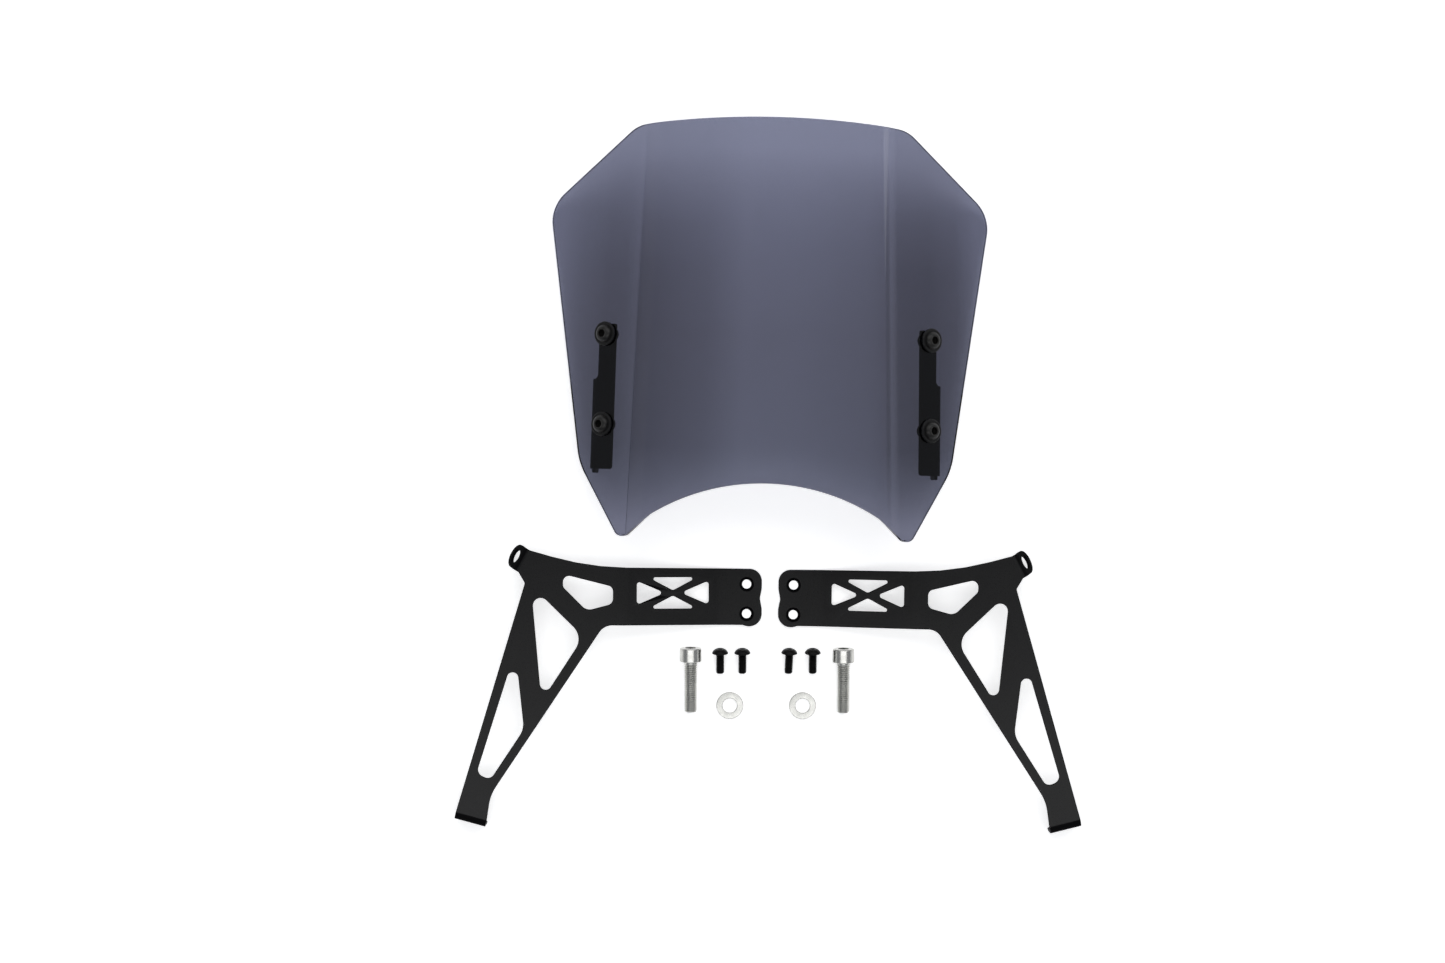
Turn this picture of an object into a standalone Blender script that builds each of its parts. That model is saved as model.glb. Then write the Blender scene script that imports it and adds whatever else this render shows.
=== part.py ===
"""Motorcycle windshield screen, laid out flat as a fitting kit.

A smoke-tinted screen lies front side up with its two adapter brackets screwed behind it. Below it lie
two mirrored side arms and the loose screws and washers. +X is to the right, +Y towards the screen's top
edge and +Z up, away from the table. The origin is under the middle of the whole kit, on the table.
Every length is in metres and every angle in radians.
"""

import math

import bmesh
import bpy
from mathutils import Matrix, Vector

KIT_NAME = "windshield_screen_kit"
GAP = 0.0003
LINE_STEP = math.radians(18.0)
CUTTER_EXCESS = 0.002

# Screen: the outline's right half, from the top edge to the arch's crown, as (x, y, corner radius).
SCREEN_ORIGIN = Vector((-0.0061, -0.0029, 0.0))
SCREEN_THICKNESS = 0.0030
SCREEN_CROWN_HEIGHT = 0.0491
SCREEN_CROWN_SAG = 0.0080
SCREEN_TOP_Y = 0.2097
SCREEN_TOP_RADIUS = 0.6600
SCREEN_TOP_HALF_WIDTH = 0.0600
ARCH_RADIUS = 0.1240
ARCH_HALF_WIDTH = 0.0660
SCREEN_SHOULDER = (0.0782, 0.2052, 0.0180)
SCREEN_OUTER_CORNER = (0.1301, 0.1609, 0.0210)
SCREEN_LOWER_CORNER = (0.1090, 0.0099, 0.0400)
SCREEN_TIP = (0.0839, -0.0348, 0.0049)
CREASE_HALF_WIDTH_AT_TOP = 0.0676
CREASE_HALF_WIDTH_AT_ARCH = 0.0738
CREASE_BLEND = 0.0050
WING_ANGLE = math.radians(33.0)
SCREEN_HOLE_RADIUS = 0.0034
MIDDLE_STRIPS = 20
WING_STRIPS = 3
BLEND_STRIPS = 4

# Adapter bracket, in the wing's own plane: x outward and y up from the upper screw's axis.
BRACKET_THICKNESS = 0.0020
PAD_THICKNESS = 0.0006
BRACKET_HOLE_RADIUS = 0.0033
BRACKET_SCREW_SPACING = 0.0525
BRACKET_UPPER_SCREW = (0.0944, 0.0851)
BRACKET_LEAN = math.radians(0.8)
BRACKET_BEND_X = 0.0081
BRACKET_BEND_RADIUS = 0.0025
BRACKET_BEND_ANGLE = math.radians(66.0)
BRACKET_FLANGE_DEPTH = 0.0150
BRACKET_TAB_DEPTH = 0.0050
BRACKET_FLANGE_TOP = -0.0260
BRACKET_FLANGE_BOTTOM = -0.0807
BRACKET_PLATE_BOTTOM = -0.0785
BRACKET_INNER_X = -0.0047
BRACKET_OUTER_X = 0.0067
BRACKET_TOP = 0.0060
BRACKET_STEP = 0.0020
FLANGE_HOLE_DEPTH = 0.0075
FLANGE_HOLE_RADIUS = 0.0027

# Side arm, flat: x along the arm towards the end holes, y up, origin midway between the end holes.
ARM_THICKNESS = 0.0020
ARM_FACE_HEIGHT = 0.0160
ARM_LAYOUT = {
    "arm_left": (Vector((-0.0150, -0.0713, 0.0)), math.radians(0.91), 1),
    "arm_right": (Vector((0.0126, -0.0713, 0.0)), math.radians(0.30), -1),
}
ARM_HOLE_SPACING = 0.0175
ARM_HOLE_RADIUS = 0.0027
ARM_SINK_RADIUS = 0.0042
EAR_ROOT_UPPER = (-0.1270, 0.0283)
EAR_ROOT_LOWER = (-0.1338, 0.0156)
EAR_LENGTH = 0.0160
EAR_RADIUS = 0.0072
EAR_HOLE_RADIUS = 0.00425
EAR_BEND_ANGLE = math.radians(60.0)
EAR_BEND_OFFSET = 0.0003
EAR_BEND_RADIUS = 0.0030
LIP_OUTER = (-0.16945, -0.1243)
LIP_INNER = (-0.15145, -0.1291)
LIP_LENGTH = 0.0174
LIP_BEND_ANGLE = math.pi / 2
LIP_BEND_RADIUS = 0.0042
LIP_CORNER_RADIUS = 0.0020
ARM_STEP_START = -0.0725
ARM_STEP_END = -0.0145
ARM_STEP_BLEND = 0.0040
ARM_STEP_CUTS = 5
# Outline from the upper end corner round to the ear, then from the foot back to the end.
ARM_TOP_EDGE = [
    (0.00895, 0.0177, 0.0072),
    (-0.0930, 0.0188, 0.1700),
    (*EAR_ROOT_UPPER, 0.0015),
]
ARM_NOTCH = (-0.1300, 0.0092, 0.0020)
ARM_LOWER_EDGE = [
    (-0.1494, -0.1150, 0.0250),
    (-0.0835, -0.0153, 0.0090),
    (-0.0025, -0.0154, 0.0040),
    (0.0005, -0.0162, 0.0040),
    (0.00895, -0.0162, 0.0074),
    (0.00895, -0.0056, 0.0060),
    (0.0078, 0.0004, 0.0060),
    (0.00895, 0.0062, 0.0060),
]
ARM_CUTOUTS = [
    # Knee opening.
    [
        (-0.1077, 0.0145, 0.0036),
        (-0.0784, 0.0073, 0.0035),
        (-0.0784, -0.0026, 0.0040),
        (-0.0938, -0.0067, 0.0060),
        (-0.1077, 0.0070, 0.0030),
    ],
    # Upper leg opening.
    [(-0.1264, 0.0079, 0.0046), (-0.0956, -0.0220, 0.0100), (-0.11995, -0.0599, 0.0034)],
    # Lower leg opening.
    [
        (-0.1353, -0.0302, 0.00335),
        (-0.1301, -0.0763, 0.0120),
        (-0.1497, -0.1062, 0.0043),
        (-0.1577, -0.1025, 0.0043),
    ],
    # The four openings round the X: outer, inner, upper and lower.
    [(-0.0645, 0.0107, 0.0015), (-0.0645, -0.0033, 0.0015), (-0.0484, 0.0037, 0.0014)],
    [(-0.0225, 0.0107, 0.0015), (-0.0225, -0.0033, 0.0015), (-0.0388, 0.0037, 0.0014)],
    [(-0.0578, 0.0128, 0.0010), (-0.0292, 0.0128, 0.0010), (-0.0435, 0.0052, 0.0020)],
    [(-0.0578, -0.0056, 0.0010), (-0.0292, -0.0056, 0.0010), (-0.0435, 0.0020, 0.0020)],
]

# Fasteners: shank radius, length, head radius, head height, socket across flats, socket depth.
M5_BUTTON = (0.00245, 0.0120, 0.00475, 0.00275, 0.0030, 0.0016)
M6_BUTTON = (0.00295, 0.0120, 0.00510, 0.00240, 0.0040, 0.0014)
M8_CAP = (0.00395, 0.0300, 0.00650, 0.00800, 0.0060, 0.0040)
# Washers: outer radius, hole radius and thickness.
HEAD_WASHER = (0.0070, 0.0033, 0.0015)
PLAIN_WASHER = (0.0080, 0.0042, 0.0016)
# Clinch nuts: barrel radius, bore radius and height behind the sheet they are pressed into.
SCREEN_NUT = (0.0043, 0.0033, 0.0020)
ARM_NUT = (0.0040, 0.0028, 0.0030)
ROUND_SEGMENTS = 24
HEAD_RIM_HEIGHT = 0.0004
DOME_STEPS = 3
CHAMFER = 0.0006
# Loose pieces on the table: x, y of the bearing face's centre, and the turn from pointing along -Y.
LOOSE_CAP_SCREWS = {
    "cap_screw_left": (-0.0473, -0.1085, math.radians(1.2)),
    "cap_screw_right": (0.0427, -0.1070, math.radians(1.2)),
}
LOOSE_BUTTON_SCREWS = {
    "button_screw_1": (-0.0300, -0.1034, math.radians(1.2)),
    "button_screw_2": (-0.0169, -0.1031, math.radians(1.2)),
    "button_screw_3": (0.0108, -0.1025, math.radians(-1.3)),
    "button_screw_4": (0.0246, -0.1022, math.radians(1.2)),
}
LOOSE_WASHERS = {
    "plain_washer_left": (-0.0236, -0.1345),
    "plain_washer_right": (0.0194, -0.1337),
}


def clear_scene():
    """Removes every object of the open file."""
    for obj in list(bpy.data.objects):
        bpy.data.objects.remove(obj, do_unlink=True)


def new_collection(name, is_guide=False):
    """Adds a collection to the scene; a guide collection stays out of renders."""
    collection = bpy.data.collections.new(name)
    bpy.context.scene.collection.children.link(collection)
    collection.hide_render = is_guide
    return collection


def new_material(name, colour, roughness, metallic=0.0, alpha=1.0):
    """A Principled material of one colour."""
    material = bpy.data.materials.new(name)
    material.use_nodes = True
    shader = material.node_tree.nodes["Principled BSDF"]
    shader.inputs["Base Color"].default_value = (*colour, 1.0)
    shader.inputs["Roughness"].default_value = roughness
    shader.inputs["Metallic"].default_value = metallic
    shader.inputs["Alpha"].default_value = alpha
    return material


clear_scene()
PARTS = new_collection(KIT_NAME)
CUTTERS = new_collection("cutters", is_guide=True)
SMOKE = new_material("smoke_acrylic", (0.06, 0.06, 0.08), 0.08, alpha=0.55)
POWDER_COAT = new_material("black_powder_coat", (0.015, 0.015, 0.017), 0.5)
BLACK_OXIDE = new_material("black_oxide_steel", (0.02, 0.02, 0.022), 0.4, metallic=0.8)
ZINC = new_material("zinc_plated_steel", (0.62, 0.62, 0.60), 0.35, metallic=1.0)
BLACK_NYLON = new_material("black_nylon", (0.02, 0.02, 0.02), 0.6)
BLACK_RUBBER = new_material("black_rubber", (0.03, 0.03, 0.03), 0.9)


def new_object(name, mesh, material, placing=None):
    """Links a mesh as a named sub-part, placed by a matrix."""
    obj = bpy.data.objects.new(name, mesh)
    PARTS.objects.link(obj)
    if not mesh.materials:
        mesh.materials.append(material)
    obj.matrix_world = placing or Matrix.Identity(4)
    return obj


def evaluated_mesh(obj, weld=1e-6):
    """The object's final mesh with its doubles merged, in the object's place; the object goes."""
    bpy.context.view_layer.update()
    graph = bpy.context.evaluated_depsgraph_get()
    mesh = bpy.data.meshes.new_from_object(obj.evaluated_get(graph))
    bpy.data.objects.remove(obj, do_unlink=True)
    edit_mesh(mesh, lambda shape: bmesh.ops.remove_doubles(shape, verts=shape.verts, dist=weld))
    return mesh


def edit_mesh(mesh, change):
    """Runs one change on a mesh through bmesh."""
    shape = bmesh.new()
    shape.from_mesh(mesh)
    change(shape)
    shape.to_mesh(mesh)
    shape.free()
    mesh.update()


def smooth(mesh, sharp_angle=math.radians(30.0)):
    """Shades round walls smooth and keeps the sharp edges."""
    mesh.shade_smooth()
    mesh.set_sharp_from_angle(angle=sharp_angle)


def rounded(corners, step=LINE_STEP):
    """The points of a closed outline whose (x, y, radius) corners are rounded by arcs."""
    points = []
    for index, (x, y, radius) in enumerate(corners):
        corner = Vector((x, y))
        before = (Vector(corners[index - 1][:2]) - corner).normalized()
        after = (Vector(corners[(index + 1) % len(corners)][:2]) - corner).normalized()
        half = before.angle(after) / 2
        if radius <= 0 or half > math.radians(89.5):
            points.append(corner)
            continue
        middle = corner + (before + after).normalized() * radius / math.sin(half)
        start = corner + before * radius / math.tan(half) - middle
        turn = math.pi - 2 * half
        steps = max(1, math.ceil(turn / step))
        side = 1 if before.x * after.y - before.y * after.x < 0 else -1
        for i in range(steps + 1):
            points.append(middle + Matrix.Rotation(side * turn * i / steps, 2) @ start)
    return points


def circle(centre, radius, segments=ROUND_SEGMENTS):
    """The points of a round hole."""
    return [
        Vector(centre) + radius * Vector((math.cos(a), math.sin(a)))
        for a in (2 * math.pi * i / segments for i in range(segments))
    ]


def flat_sheet(outlines, thickness):
    """A flat sheet bounded by the first outline and pierced by the others, its middle at z = 0."""
    curve = bpy.data.curves.new("outline", "CURVE")
    curve.dimensions = "2D"
    curve.fill_mode = "BOTH"
    curve.extrude = thickness / 2
    for outline in outlines:
        spline = curve.splines.new("POLY")
        spline.points.add(len(outline) - 1)
        for point, place in zip(spline.points, outline):
            point.co = (place.x, place.y, 0.0, 1.0)
        spline.use_cyclic_u = True
    obj = bpy.data.objects.new("outline", curve)
    PARTS.objects.link(obj)
    mesh = evaluated_mesh(obj)
    bpy.data.curves.remove(curve)
    return mesh


def cut_line(mesh, point, direction):
    """Adds edges where a wall through the point, facing the direction, meets the mesh."""

    def cut(shape):
        bmesh.ops.bisect_plane(
            shape,
            geom=shape.verts[:] + shape.edges[:] + shape.faces[:],
            plane_co=(*point, 0.0),
            plane_no=(*direction, 0.0),
            dist=1e-6,
        )

    edit_mesh(mesh, cut)


def bend_down(mesh, start, outward, angle, radius, steps=5):
    """Bends down what lies outward of a line, round an arc of the sheet's middle surface."""
    start = Vector(start)
    outward = Vector(outward).normalized()
    for i in range(steps + 1):
        cut_line(mesh, start + outward * radius * angle * i / steps, outward)
    for vertex in mesh.vertices:
        flat = Vector(vertex.co.xy)
        past = (flat - start).dot(outward)
        if past <= 0:
            continue
        turned = min(past / radius, angle)
        rest = past - radius * turned
        rise = vertex.co.z
        forward = radius * math.sin(turned) + rest * math.cos(turned) + rise * math.sin(turned)
        drop = radius * (1 - math.cos(turned)) + rest * math.sin(turned) - rise * math.cos(turned)
        vertex.co.xy = flat + outward * (forward - past)
        vertex.co.z = -drop
    mesh.update()


def bent_point(start, outward, angle, radius, past_arc):
    """The frame of a point on a bent-down flange: z along its outer face's normal, on its middle."""
    outward = Vector(outward).normalized()
    forward = radius * math.sin(angle) + past_arc * math.cos(angle)
    drop = radius * (1 - math.cos(angle)) + past_arc * math.sin(angle)
    place = Vector((*(Vector(start) + outward * forward), -drop))
    turn_axis = Vector((-outward.y, outward.x, 0.0))
    return Matrix.Translation(place) @ Matrix.Rotation(angle, 4, turn_axis)


def turned(profile, segments=ROUND_SEGMENTS):
    """A solid turned about z from (radius, height) points that run down its outer side."""
    mesh = bpy.data.meshes.new("profile")
    points = [(radius, 0.0, height) for radius, height in profile]
    is_ring = min(radius for radius, _ in profile) > 0
    last = len(points) - 1
    edges = [(i, i + 1) for i in range(last)] + ([(last, 0)] if is_ring else [])
    mesh.from_pydata(points, edges, [])
    obj = bpy.data.objects.new("turned", mesh)
    PARTS.objects.link(obj)
    screw = obj.modifiers.new("turn", "SCREW")
    screw.steps = segments
    screw.render_steps = segments
    screw.use_merge_vertices = True
    screw.merge_threshold = 1e-5
    result = evaluated_mesh(obj)
    bpy.data.meshes.remove(mesh)
    return result


def prism(across_flats, height, sides=6):
    """A prism standing on z = 0."""
    mesh = bpy.data.meshes.new("prism")

    def build(shape):
        radius = across_flats / 2 / math.cos(math.pi / sides)
        lift = Matrix.Translation((0.0, 0.0, height / 2))
        bmesh.ops.create_cone(
            shape, cap_ends=True, segments=sides, radius1=radius, radius2=radius, depth=height, matrix=lift
        )

    edit_mesh(mesh, build)
    return mesh


def cut(obj, cutter_mesh, placing, name):
    """Cuts a tool's shape out of an object with a live Boolean."""
    cutter = bpy.data.objects.new(name, cutter_mesh)
    CUTTERS.objects.link(cutter)
    cutter.matrix_world = placing
    cutter.hide_render = True
    cutter.display_type = "WIRE"
    boolean = obj.modifiers.new(name, "BOOLEAN")
    boolean.operation = "DIFFERENCE"
    boolean.object = cutter


def cut_into(mesh, cutter_mesh, placing):
    """A mesh with a tool's shape cut out of it, for pieces that share the result."""
    obj = bpy.data.objects.new("blank", mesh)
    PARTS.objects.link(obj)
    cut(obj, cutter_mesh, placing, "tool")
    result = evaluated_mesh(obj)
    bpy.data.meshes.remove(mesh)
    bpy.data.objects.remove(CUTTERS.objects[-1], do_unlink=True)
    return result


def ring(outer, inner, thickness):
    """A washer or a nut's barrel standing on z = 0."""
    return turned([(inner, thickness), (outer, thickness), (outer, 0.0), (inner, 0.0)])


def screw_profile(size, is_domed):
    """A screw's turned outline: head above z = 0 and shank below."""
    shank, length, head, height, _, _ = size
    if is_domed:
        rise = height - HEAD_RIM_HEIGHT
        dome = (head**2 + rise**2) / (2 * rise)
        spread = math.asin(head / dome)
        crown = [
            (dome * math.sin(spread * i / DOME_STEPS), height - dome * (1 - math.cos(spread * i / DOME_STEPS)))
            for i in range(DOME_STEPS + 1)
        ]
    else:
        crown = [(0.0, height), (head - CHAMFER, height), (head, height - CHAMFER)]
    tail = [(head, 0.0), (shank, 0.0), (shank, CHAMFER - length), (shank - CHAMFER, -length), (0.0, -length)]
    return crown + tail


def socket_screw(size, is_domed):
    """A screw with a hexagon socket in its head, axis along z, bearing face at z = 0."""
    _, _, _, height, flats, depth = size
    blank = turned(screw_profile(size, is_domed))
    place = Matrix.Translation((0.0, 0.0, height - depth))
    return cut_into(blank, prism(flats, depth + CUTTER_EXCESS), place)


def crease_half_width(y):
    """Half the middle panel's width where the crease crosses a height on the screen."""
    share = y / SCREEN_TOP_Y
    return CREASE_HALF_WIDTH_AT_ARCH + (CREASE_HALF_WIDTH_AT_TOP - CREASE_HALF_WIDTH_AT_ARCH) * share


def screen_height(x, y):
    """Height of the screen's front face: a shallow cylinder between two folded wings."""
    crease = crease_half_width(y)
    past = abs(x) - crease
    crease_height = SCREEN_CROWN_HEIGHT - SCREEN_CROWN_SAG
    inner_slope = 2 * SCREEN_CROWN_SAG / crease
    outer_slope = math.tan(WING_ANGLE)
    if past <= -CREASE_BLEND:
        return SCREEN_CROWN_HEIGHT - SCREEN_CROWN_SAG * (x / crease) ** 2
    if past >= CREASE_BLEND:
        return crease_height - outer_slope * past
    start = crease_height + inner_slope * CREASE_BLEND
    share = past + CREASE_BLEND
    return start - inner_slope * share - (outer_slope - inner_slope) * share**2 / (4 * CREASE_BLEND)


def arc_between(half_width, radius, top, steps):
    """Points along an arc that is level at x = 0, from the left to the right."""
    spread = math.asin(half_width / radius)
    angles = [spread * (2 * i / steps - 1) for i in range(steps + 1)]
    return [(radius * math.sin(a), top - radius * (1 - math.cos(a)), 0.0) for a in angles]


def screen_outline():
    """The screen's closed outline in plan, clockwise from the left end of its top edge."""
    right = [SCREEN_SHOULDER, SCREEN_OUTER_CORNER, SCREEN_LOWER_CORNER, SCREEN_TIP]
    left = [(-x, y, radius) for x, y, radius in reversed(right)]
    top = arc_between(SCREEN_TOP_HALF_WIDTH, SCREEN_TOP_RADIUS, SCREEN_TOP_Y, steps=10)
    arch = arc_between(ARCH_HALF_WIDTH, ARCH_RADIUS, 0.0, steps=18)
    return rounded(top + right + arch[::-1] + left, step=math.radians(7.0))


def screen_rulings():
    """Shares of the crease's half width where the screen's surface changes direction."""
    blend = CREASE_BLEND / CREASE_HALF_WIDTH_AT_ARCH
    middle = [(1 - blend) * (2 * i / MIDDLE_STRIPS - 1) for i in range(MIDDLE_STRIPS + 1)]
    wing = [1 - blend + 2 * blend * i / BLEND_STRIPS for i in range(1, BLEND_STRIPS + 1)]
    wing += [1.25 + 0.25 * i for i in range(WING_STRIPS)]
    return middle + wing + [-share for share in wing]


def wing_frame(side, y_offset=0.0):
    """The frame on the wing's front face at a screw: x outward, y up along the bracket, z out."""
    x, y = BRACKET_UPPER_SCREW
    step = 0.001
    slope_x = (screen_height(x + step, y) - screen_height(x - step, y)) / (2 * step)
    slope_y = (screen_height(x, y + step) - screen_height(x, y - step)) / (2 * step)
    normal = Vector((-slope_x * side, -slope_y, 1.0)).normalized()
    upward = Vector((-side * math.tan(BRACKET_LEAN), 1.0, slope_y - math.tan(BRACKET_LEAN) * slope_x))
    up = upward.normalized()
    right = up.cross(normal)
    place = SCREEN_ORIGIN + Vector((side * x, y, screen_height(x, y))) + up * y_offset
    columns = Matrix((right, up, normal)).transposed().to_4x4()
    return Matrix.Translation(place) @ columns


def make_screen():
    """The tinted sheet, folded along its two creases, with four screw holes."""
    mesh = flat_sheet([screen_outline()], 0.0)
    edit_mesh(mesh, lambda shape: bmesh.ops.dissolve_faces(shape, faces=shape.faces))
    for share in screen_rulings():
        top = Vector((share * CREASE_HALF_WIDTH_AT_TOP, SCREEN_TOP_Y))
        bottom = Vector((share * CREASE_HALF_WIDTH_AT_ARCH, 0.0))
        along = top - bottom
        cut_line(mesh, bottom, (along.y, -along.x))
    for vertex in mesh.vertices:
        vertex.co.z = screen_height(vertex.co.x, vertex.co.y)
    edit_mesh(mesh, face_up)
    smooth(mesh, math.radians(12.0))
    screen = new_object("screen", mesh, SMOKE, Matrix.Translation(SCREEN_ORIGIN))
    wall = screen.modifiers.new("wall", "SOLIDIFY")
    wall.thickness = SCREEN_THICKNESS
    wall.offset = -1.0
    wall.use_even_offset = True
    height = SCREEN_THICKNESS + 2 * CUTTER_EXCESS
    drill = turned([(0.0, height), (SCREEN_HOLE_RADIUS, height), (SCREEN_HOLE_RADIUS, 0.0), (0.0, 0.0)])
    sink = Matrix.Translation((0.0, 0.0, -SCREEN_THICKNESS - CUTTER_EXCESS))
    for side in (-1, 1):
        for y_offset in (0.0, -BRACKET_SCREW_SPACING):
            cut(screen, drill, wing_frame(side, y_offset) @ sink, f"screen_drill_{side}_{y_offset}")


def face_up(shape):
    """Turns every face of an open surface upwards."""
    for face in shape.faces:
        face.normal_update()
        if face.normal.z < 0:
            face.normal_flip()


def bracket_outline(side):
    """The bracket's flat outline on one side of the screen, the flange part of the same sheet."""
    bend_end = BRACKET_BEND_X + BRACKET_BEND_RADIUS * BRACKET_BEND_ANGLE
    flange_edge = bend_end + BRACKET_FLANGE_DEPTH
    tab_edge = bend_end + BRACKET_TAB_DEPTH
    corners = [
        (BRACKET_INNER_X, BRACKET_TOP, 0.0010),
        (BRACKET_OUTER_X, BRACKET_TOP, 0.0010),
        (BRACKET_OUTER_X, BRACKET_FLANGE_TOP + BRACKET_STEP, 0.0),
        (BRACKET_BEND_X, BRACKET_FLANGE_TOP, 0.0),
        (flange_edge, BRACKET_FLANGE_TOP, 0.0020),
        (flange_edge, BRACKET_FLANGE_BOTTOM, 0.0020),
        (tab_edge, BRACKET_FLANGE_BOTTOM, 0.0008),
        (tab_edge, BRACKET_PLATE_BOTTOM, 0.0),
        (BRACKET_INNER_X, BRACKET_PLATE_BOTTOM, 0.0018),
    ]
    return rounded([(side * x, y, radius) for x, y, radius in corners])


def flange_hole_rows():
    """Heights of the two arm holes on the flange."""
    middle = (BRACKET_FLANGE_TOP + BRACKET_FLANGE_BOTTOM) / 2
    return [middle + ARM_HOLE_SPACING / 2, middle - ARM_HOLE_SPACING / 2]


def make_bracket_side(side, word):
    """One adapter bracket with its nuts, pads, washers and screws, stacked along the wing's normal."""
    frame = wing_frame(side)
    arc = BRACKET_BEND_RADIUS * BRACKET_BEND_ANGLE
    holes = [circle((0.0, y), BRACKET_HOLE_RADIUS) for y in (0.0, -BRACKET_SCREW_SPACING)]
    hole_x = side * (BRACKET_BEND_X + arc + FLANGE_HOLE_DEPTH)
    holes += [circle((hole_x, y), FLANGE_HOLE_RADIUS) for y in flange_hole_rows()]
    mesh = flat_sheet([bracket_outline(side), *holes], BRACKET_THICKNESS)
    bend_start = (side * BRACKET_BEND_X, 0.0)
    bend_down(mesh, bend_start, (side, 0.0), BRACKET_BEND_ANGLE, BRACKET_BEND_RADIUS)
    smooth(mesh)
    pad_top = -SCREEN_THICKNESS - GAP
    plate_top = pad_top - PAD_THICKNESS - GAP
    plate_middle = plate_top - BRACKET_THICKNESS / 2
    plate_frame = frame @ Matrix.Translation((0.0, 0.0, plate_middle))
    new_object(f"adapter_bracket_{word}", mesh, POWDER_COAT, plate_frame)
    nut_bottom = plate_top - BRACKET_THICKNESS - GAP - SCREEN_NUT[2]
    for y_offset, row in ((0.0, "upper"), (-BRACKET_SCREW_SPACING, "lower")):
        at = wing_frame(side, y_offset)
        washer_lift = Matrix.Translation((0.0, 0.0, GAP))
        head_lift = Matrix.Translation((0.0, 0.0, 2 * GAP + HEAD_WASHER[2]))
        pad_drop = Matrix.Translation((0.0, 0.0, pad_top - PAD_THICKNESS))
        nut_drop = Matrix.Translation((0.0, 0.0, nut_bottom))
        new_object(f"head_washer_{word}_{row}", MESHES["head_washer"], BLACK_NYLON, at @ washer_lift)
        new_object(f"screen_screw_{word}_{row}", MESHES["screen_screw"], BLACK_OXIDE, at @ head_lift)
        new_object(f"isolating_pad_{word}_{row}", MESHES["isolating_pad"], BLACK_RUBBER, at @ pad_drop)
        new_object(f"screen_nut_{word}_{row}", MESHES["screen_nut"], BLACK_OXIDE, at @ nut_drop)
    for y, row in zip(flange_hole_rows(), ("upper", "lower")):
        start = (bend_start[0], y)
        on_flange = bent_point(start, (side, 0.0), BRACKET_BEND_ANGLE, BRACKET_BEND_RADIUS, FLANGE_HOLE_DEPTH)
        behind = Matrix.Translation((0.0, 0.0, -BRACKET_THICKNESS / 2 - GAP - ARM_NUT[2]))
        new_object(f"arm_nut_{word}_{row}", MESHES["arm_nut"], BLACK_OXIDE, plate_frame @ on_flange @ behind)


def arm_drop(x):
    """How far the arm's face has stepped down at a distance along the arm."""
    slope = (ARM_FACE_HEIGHT - ARM_THICKNESS) / (ARM_STEP_END - ARM_STEP_START)

    def ramp(past):
        if past <= -ARM_STEP_BLEND:
            return 0.0
        if past >= ARM_STEP_BLEND:
            return past
        return (past + ARM_STEP_BLEND) ** 2 / (4 * ARM_STEP_BLEND)

    return slope * (ramp(x - ARM_STEP_START) - ramp(x - ARM_STEP_END))


def arm_frames():
    """The ear's and the lip's directions in the flat arm's own plane."""
    upper, lower = Vector(EAR_ROOT_UPPER), Vector(EAR_ROOT_LOWER)
    along_root = (upper - lower).normalized()
    ear_out = Vector((-along_root.y, along_root.x))
    along_lip = (Vector(LIP_INNER) - Vector(LIP_OUTER)).normalized()
    lip_out = Vector((along_lip.y, -along_lip.x))
    return (upper + lower) / 2, ear_out, lip_out


def arm_outline():
    """The arm's flat outline, with the ear and the foot lip unbent."""
    _, ear_out, lip_out = arm_frames()
    ear = [(*(Vector(root) + ear_out * EAR_LENGTH), EAR_RADIUS) for root in (EAR_ROOT_UPPER, EAR_ROOT_LOWER)]
    lip = [(*(Vector(root) + lip_out * LIP_LENGTH), LIP_CORNER_RADIUS) for root in (LIP_OUTER, LIP_INNER)]
    outer = [(*EAR_ROOT_LOWER, 0.0008), ARM_NOTCH, (*LIP_OUTER, 0.0)]
    return ARM_TOP_EDGE + ear + outer + lip + [(*LIP_INNER, 0.0)] + ARM_LOWER_EDGE


def make_arm(name):
    """One side arm: cut flat, its ear and foot lip bent down, its end stepped down to the table."""
    place, turn, side = ARM_LAYOUT[name]
    ear_root, ear_out, lip_out = arm_frames()
    ear_hole_past = EAR_LENGTH - EAR_RADIUS
    ear_hole = circle(ear_root + ear_out * ear_hole_past, EAR_HOLE_RADIUS)
    outlines = [rounded(arm_outline()), *(rounded(opening) for opening in ARM_CUTOUTS), ear_hole]
    mirrored = [[Vector((side * point.x, point.y)) for point in outline] for outline in outlines]
    mesh = flat_sheet(mirrored, ARM_THICKNESS)
    ear_start = ear_root + ear_out * EAR_BEND_OFFSET
    for start, out, angle, radius in (
        (ear_start, ear_out, EAR_BEND_ANGLE, EAR_BEND_RADIUS),
        (Vector(LIP_OUTER), lip_out, LIP_BEND_ANGLE, LIP_BEND_RADIUS),
    ):
        bend_down(mesh, (side * start.x, start.y), (side * out.x, out.y), angle, radius)
    for centre in (ARM_STEP_START, ARM_STEP_END):
        for i in range(ARM_STEP_CUTS):
            at = centre + ARM_STEP_BLEND * (2 * i / (ARM_STEP_CUTS - 1) - 1)
            cut_line(mesh, (side * at, 0.0), (1.0, 0.0))
    for vertex in mesh.vertices:
        vertex.co.z -= arm_drop(side * vertex.co.x)
    smooth(mesh)
    height = ARM_FACE_HEIGHT - ARM_THICKNESS / 2
    placing = Matrix.Translation(place + Vector((0.0, 0.0, height))) @ Matrix.Rotation(turn, 4, "Z")
    arm = new_object(name, mesh, POWDER_COAT, placing)
    end_middle = -arm_drop(0.0)
    for row in (1, -1):
        at = Matrix.Translation((0.0, row * ARM_HOLE_SPACING / 2, end_middle))
        cut(arm, MESHES["sunk_drill"], placing @ at, f"{name}_drill_{row}")


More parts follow.
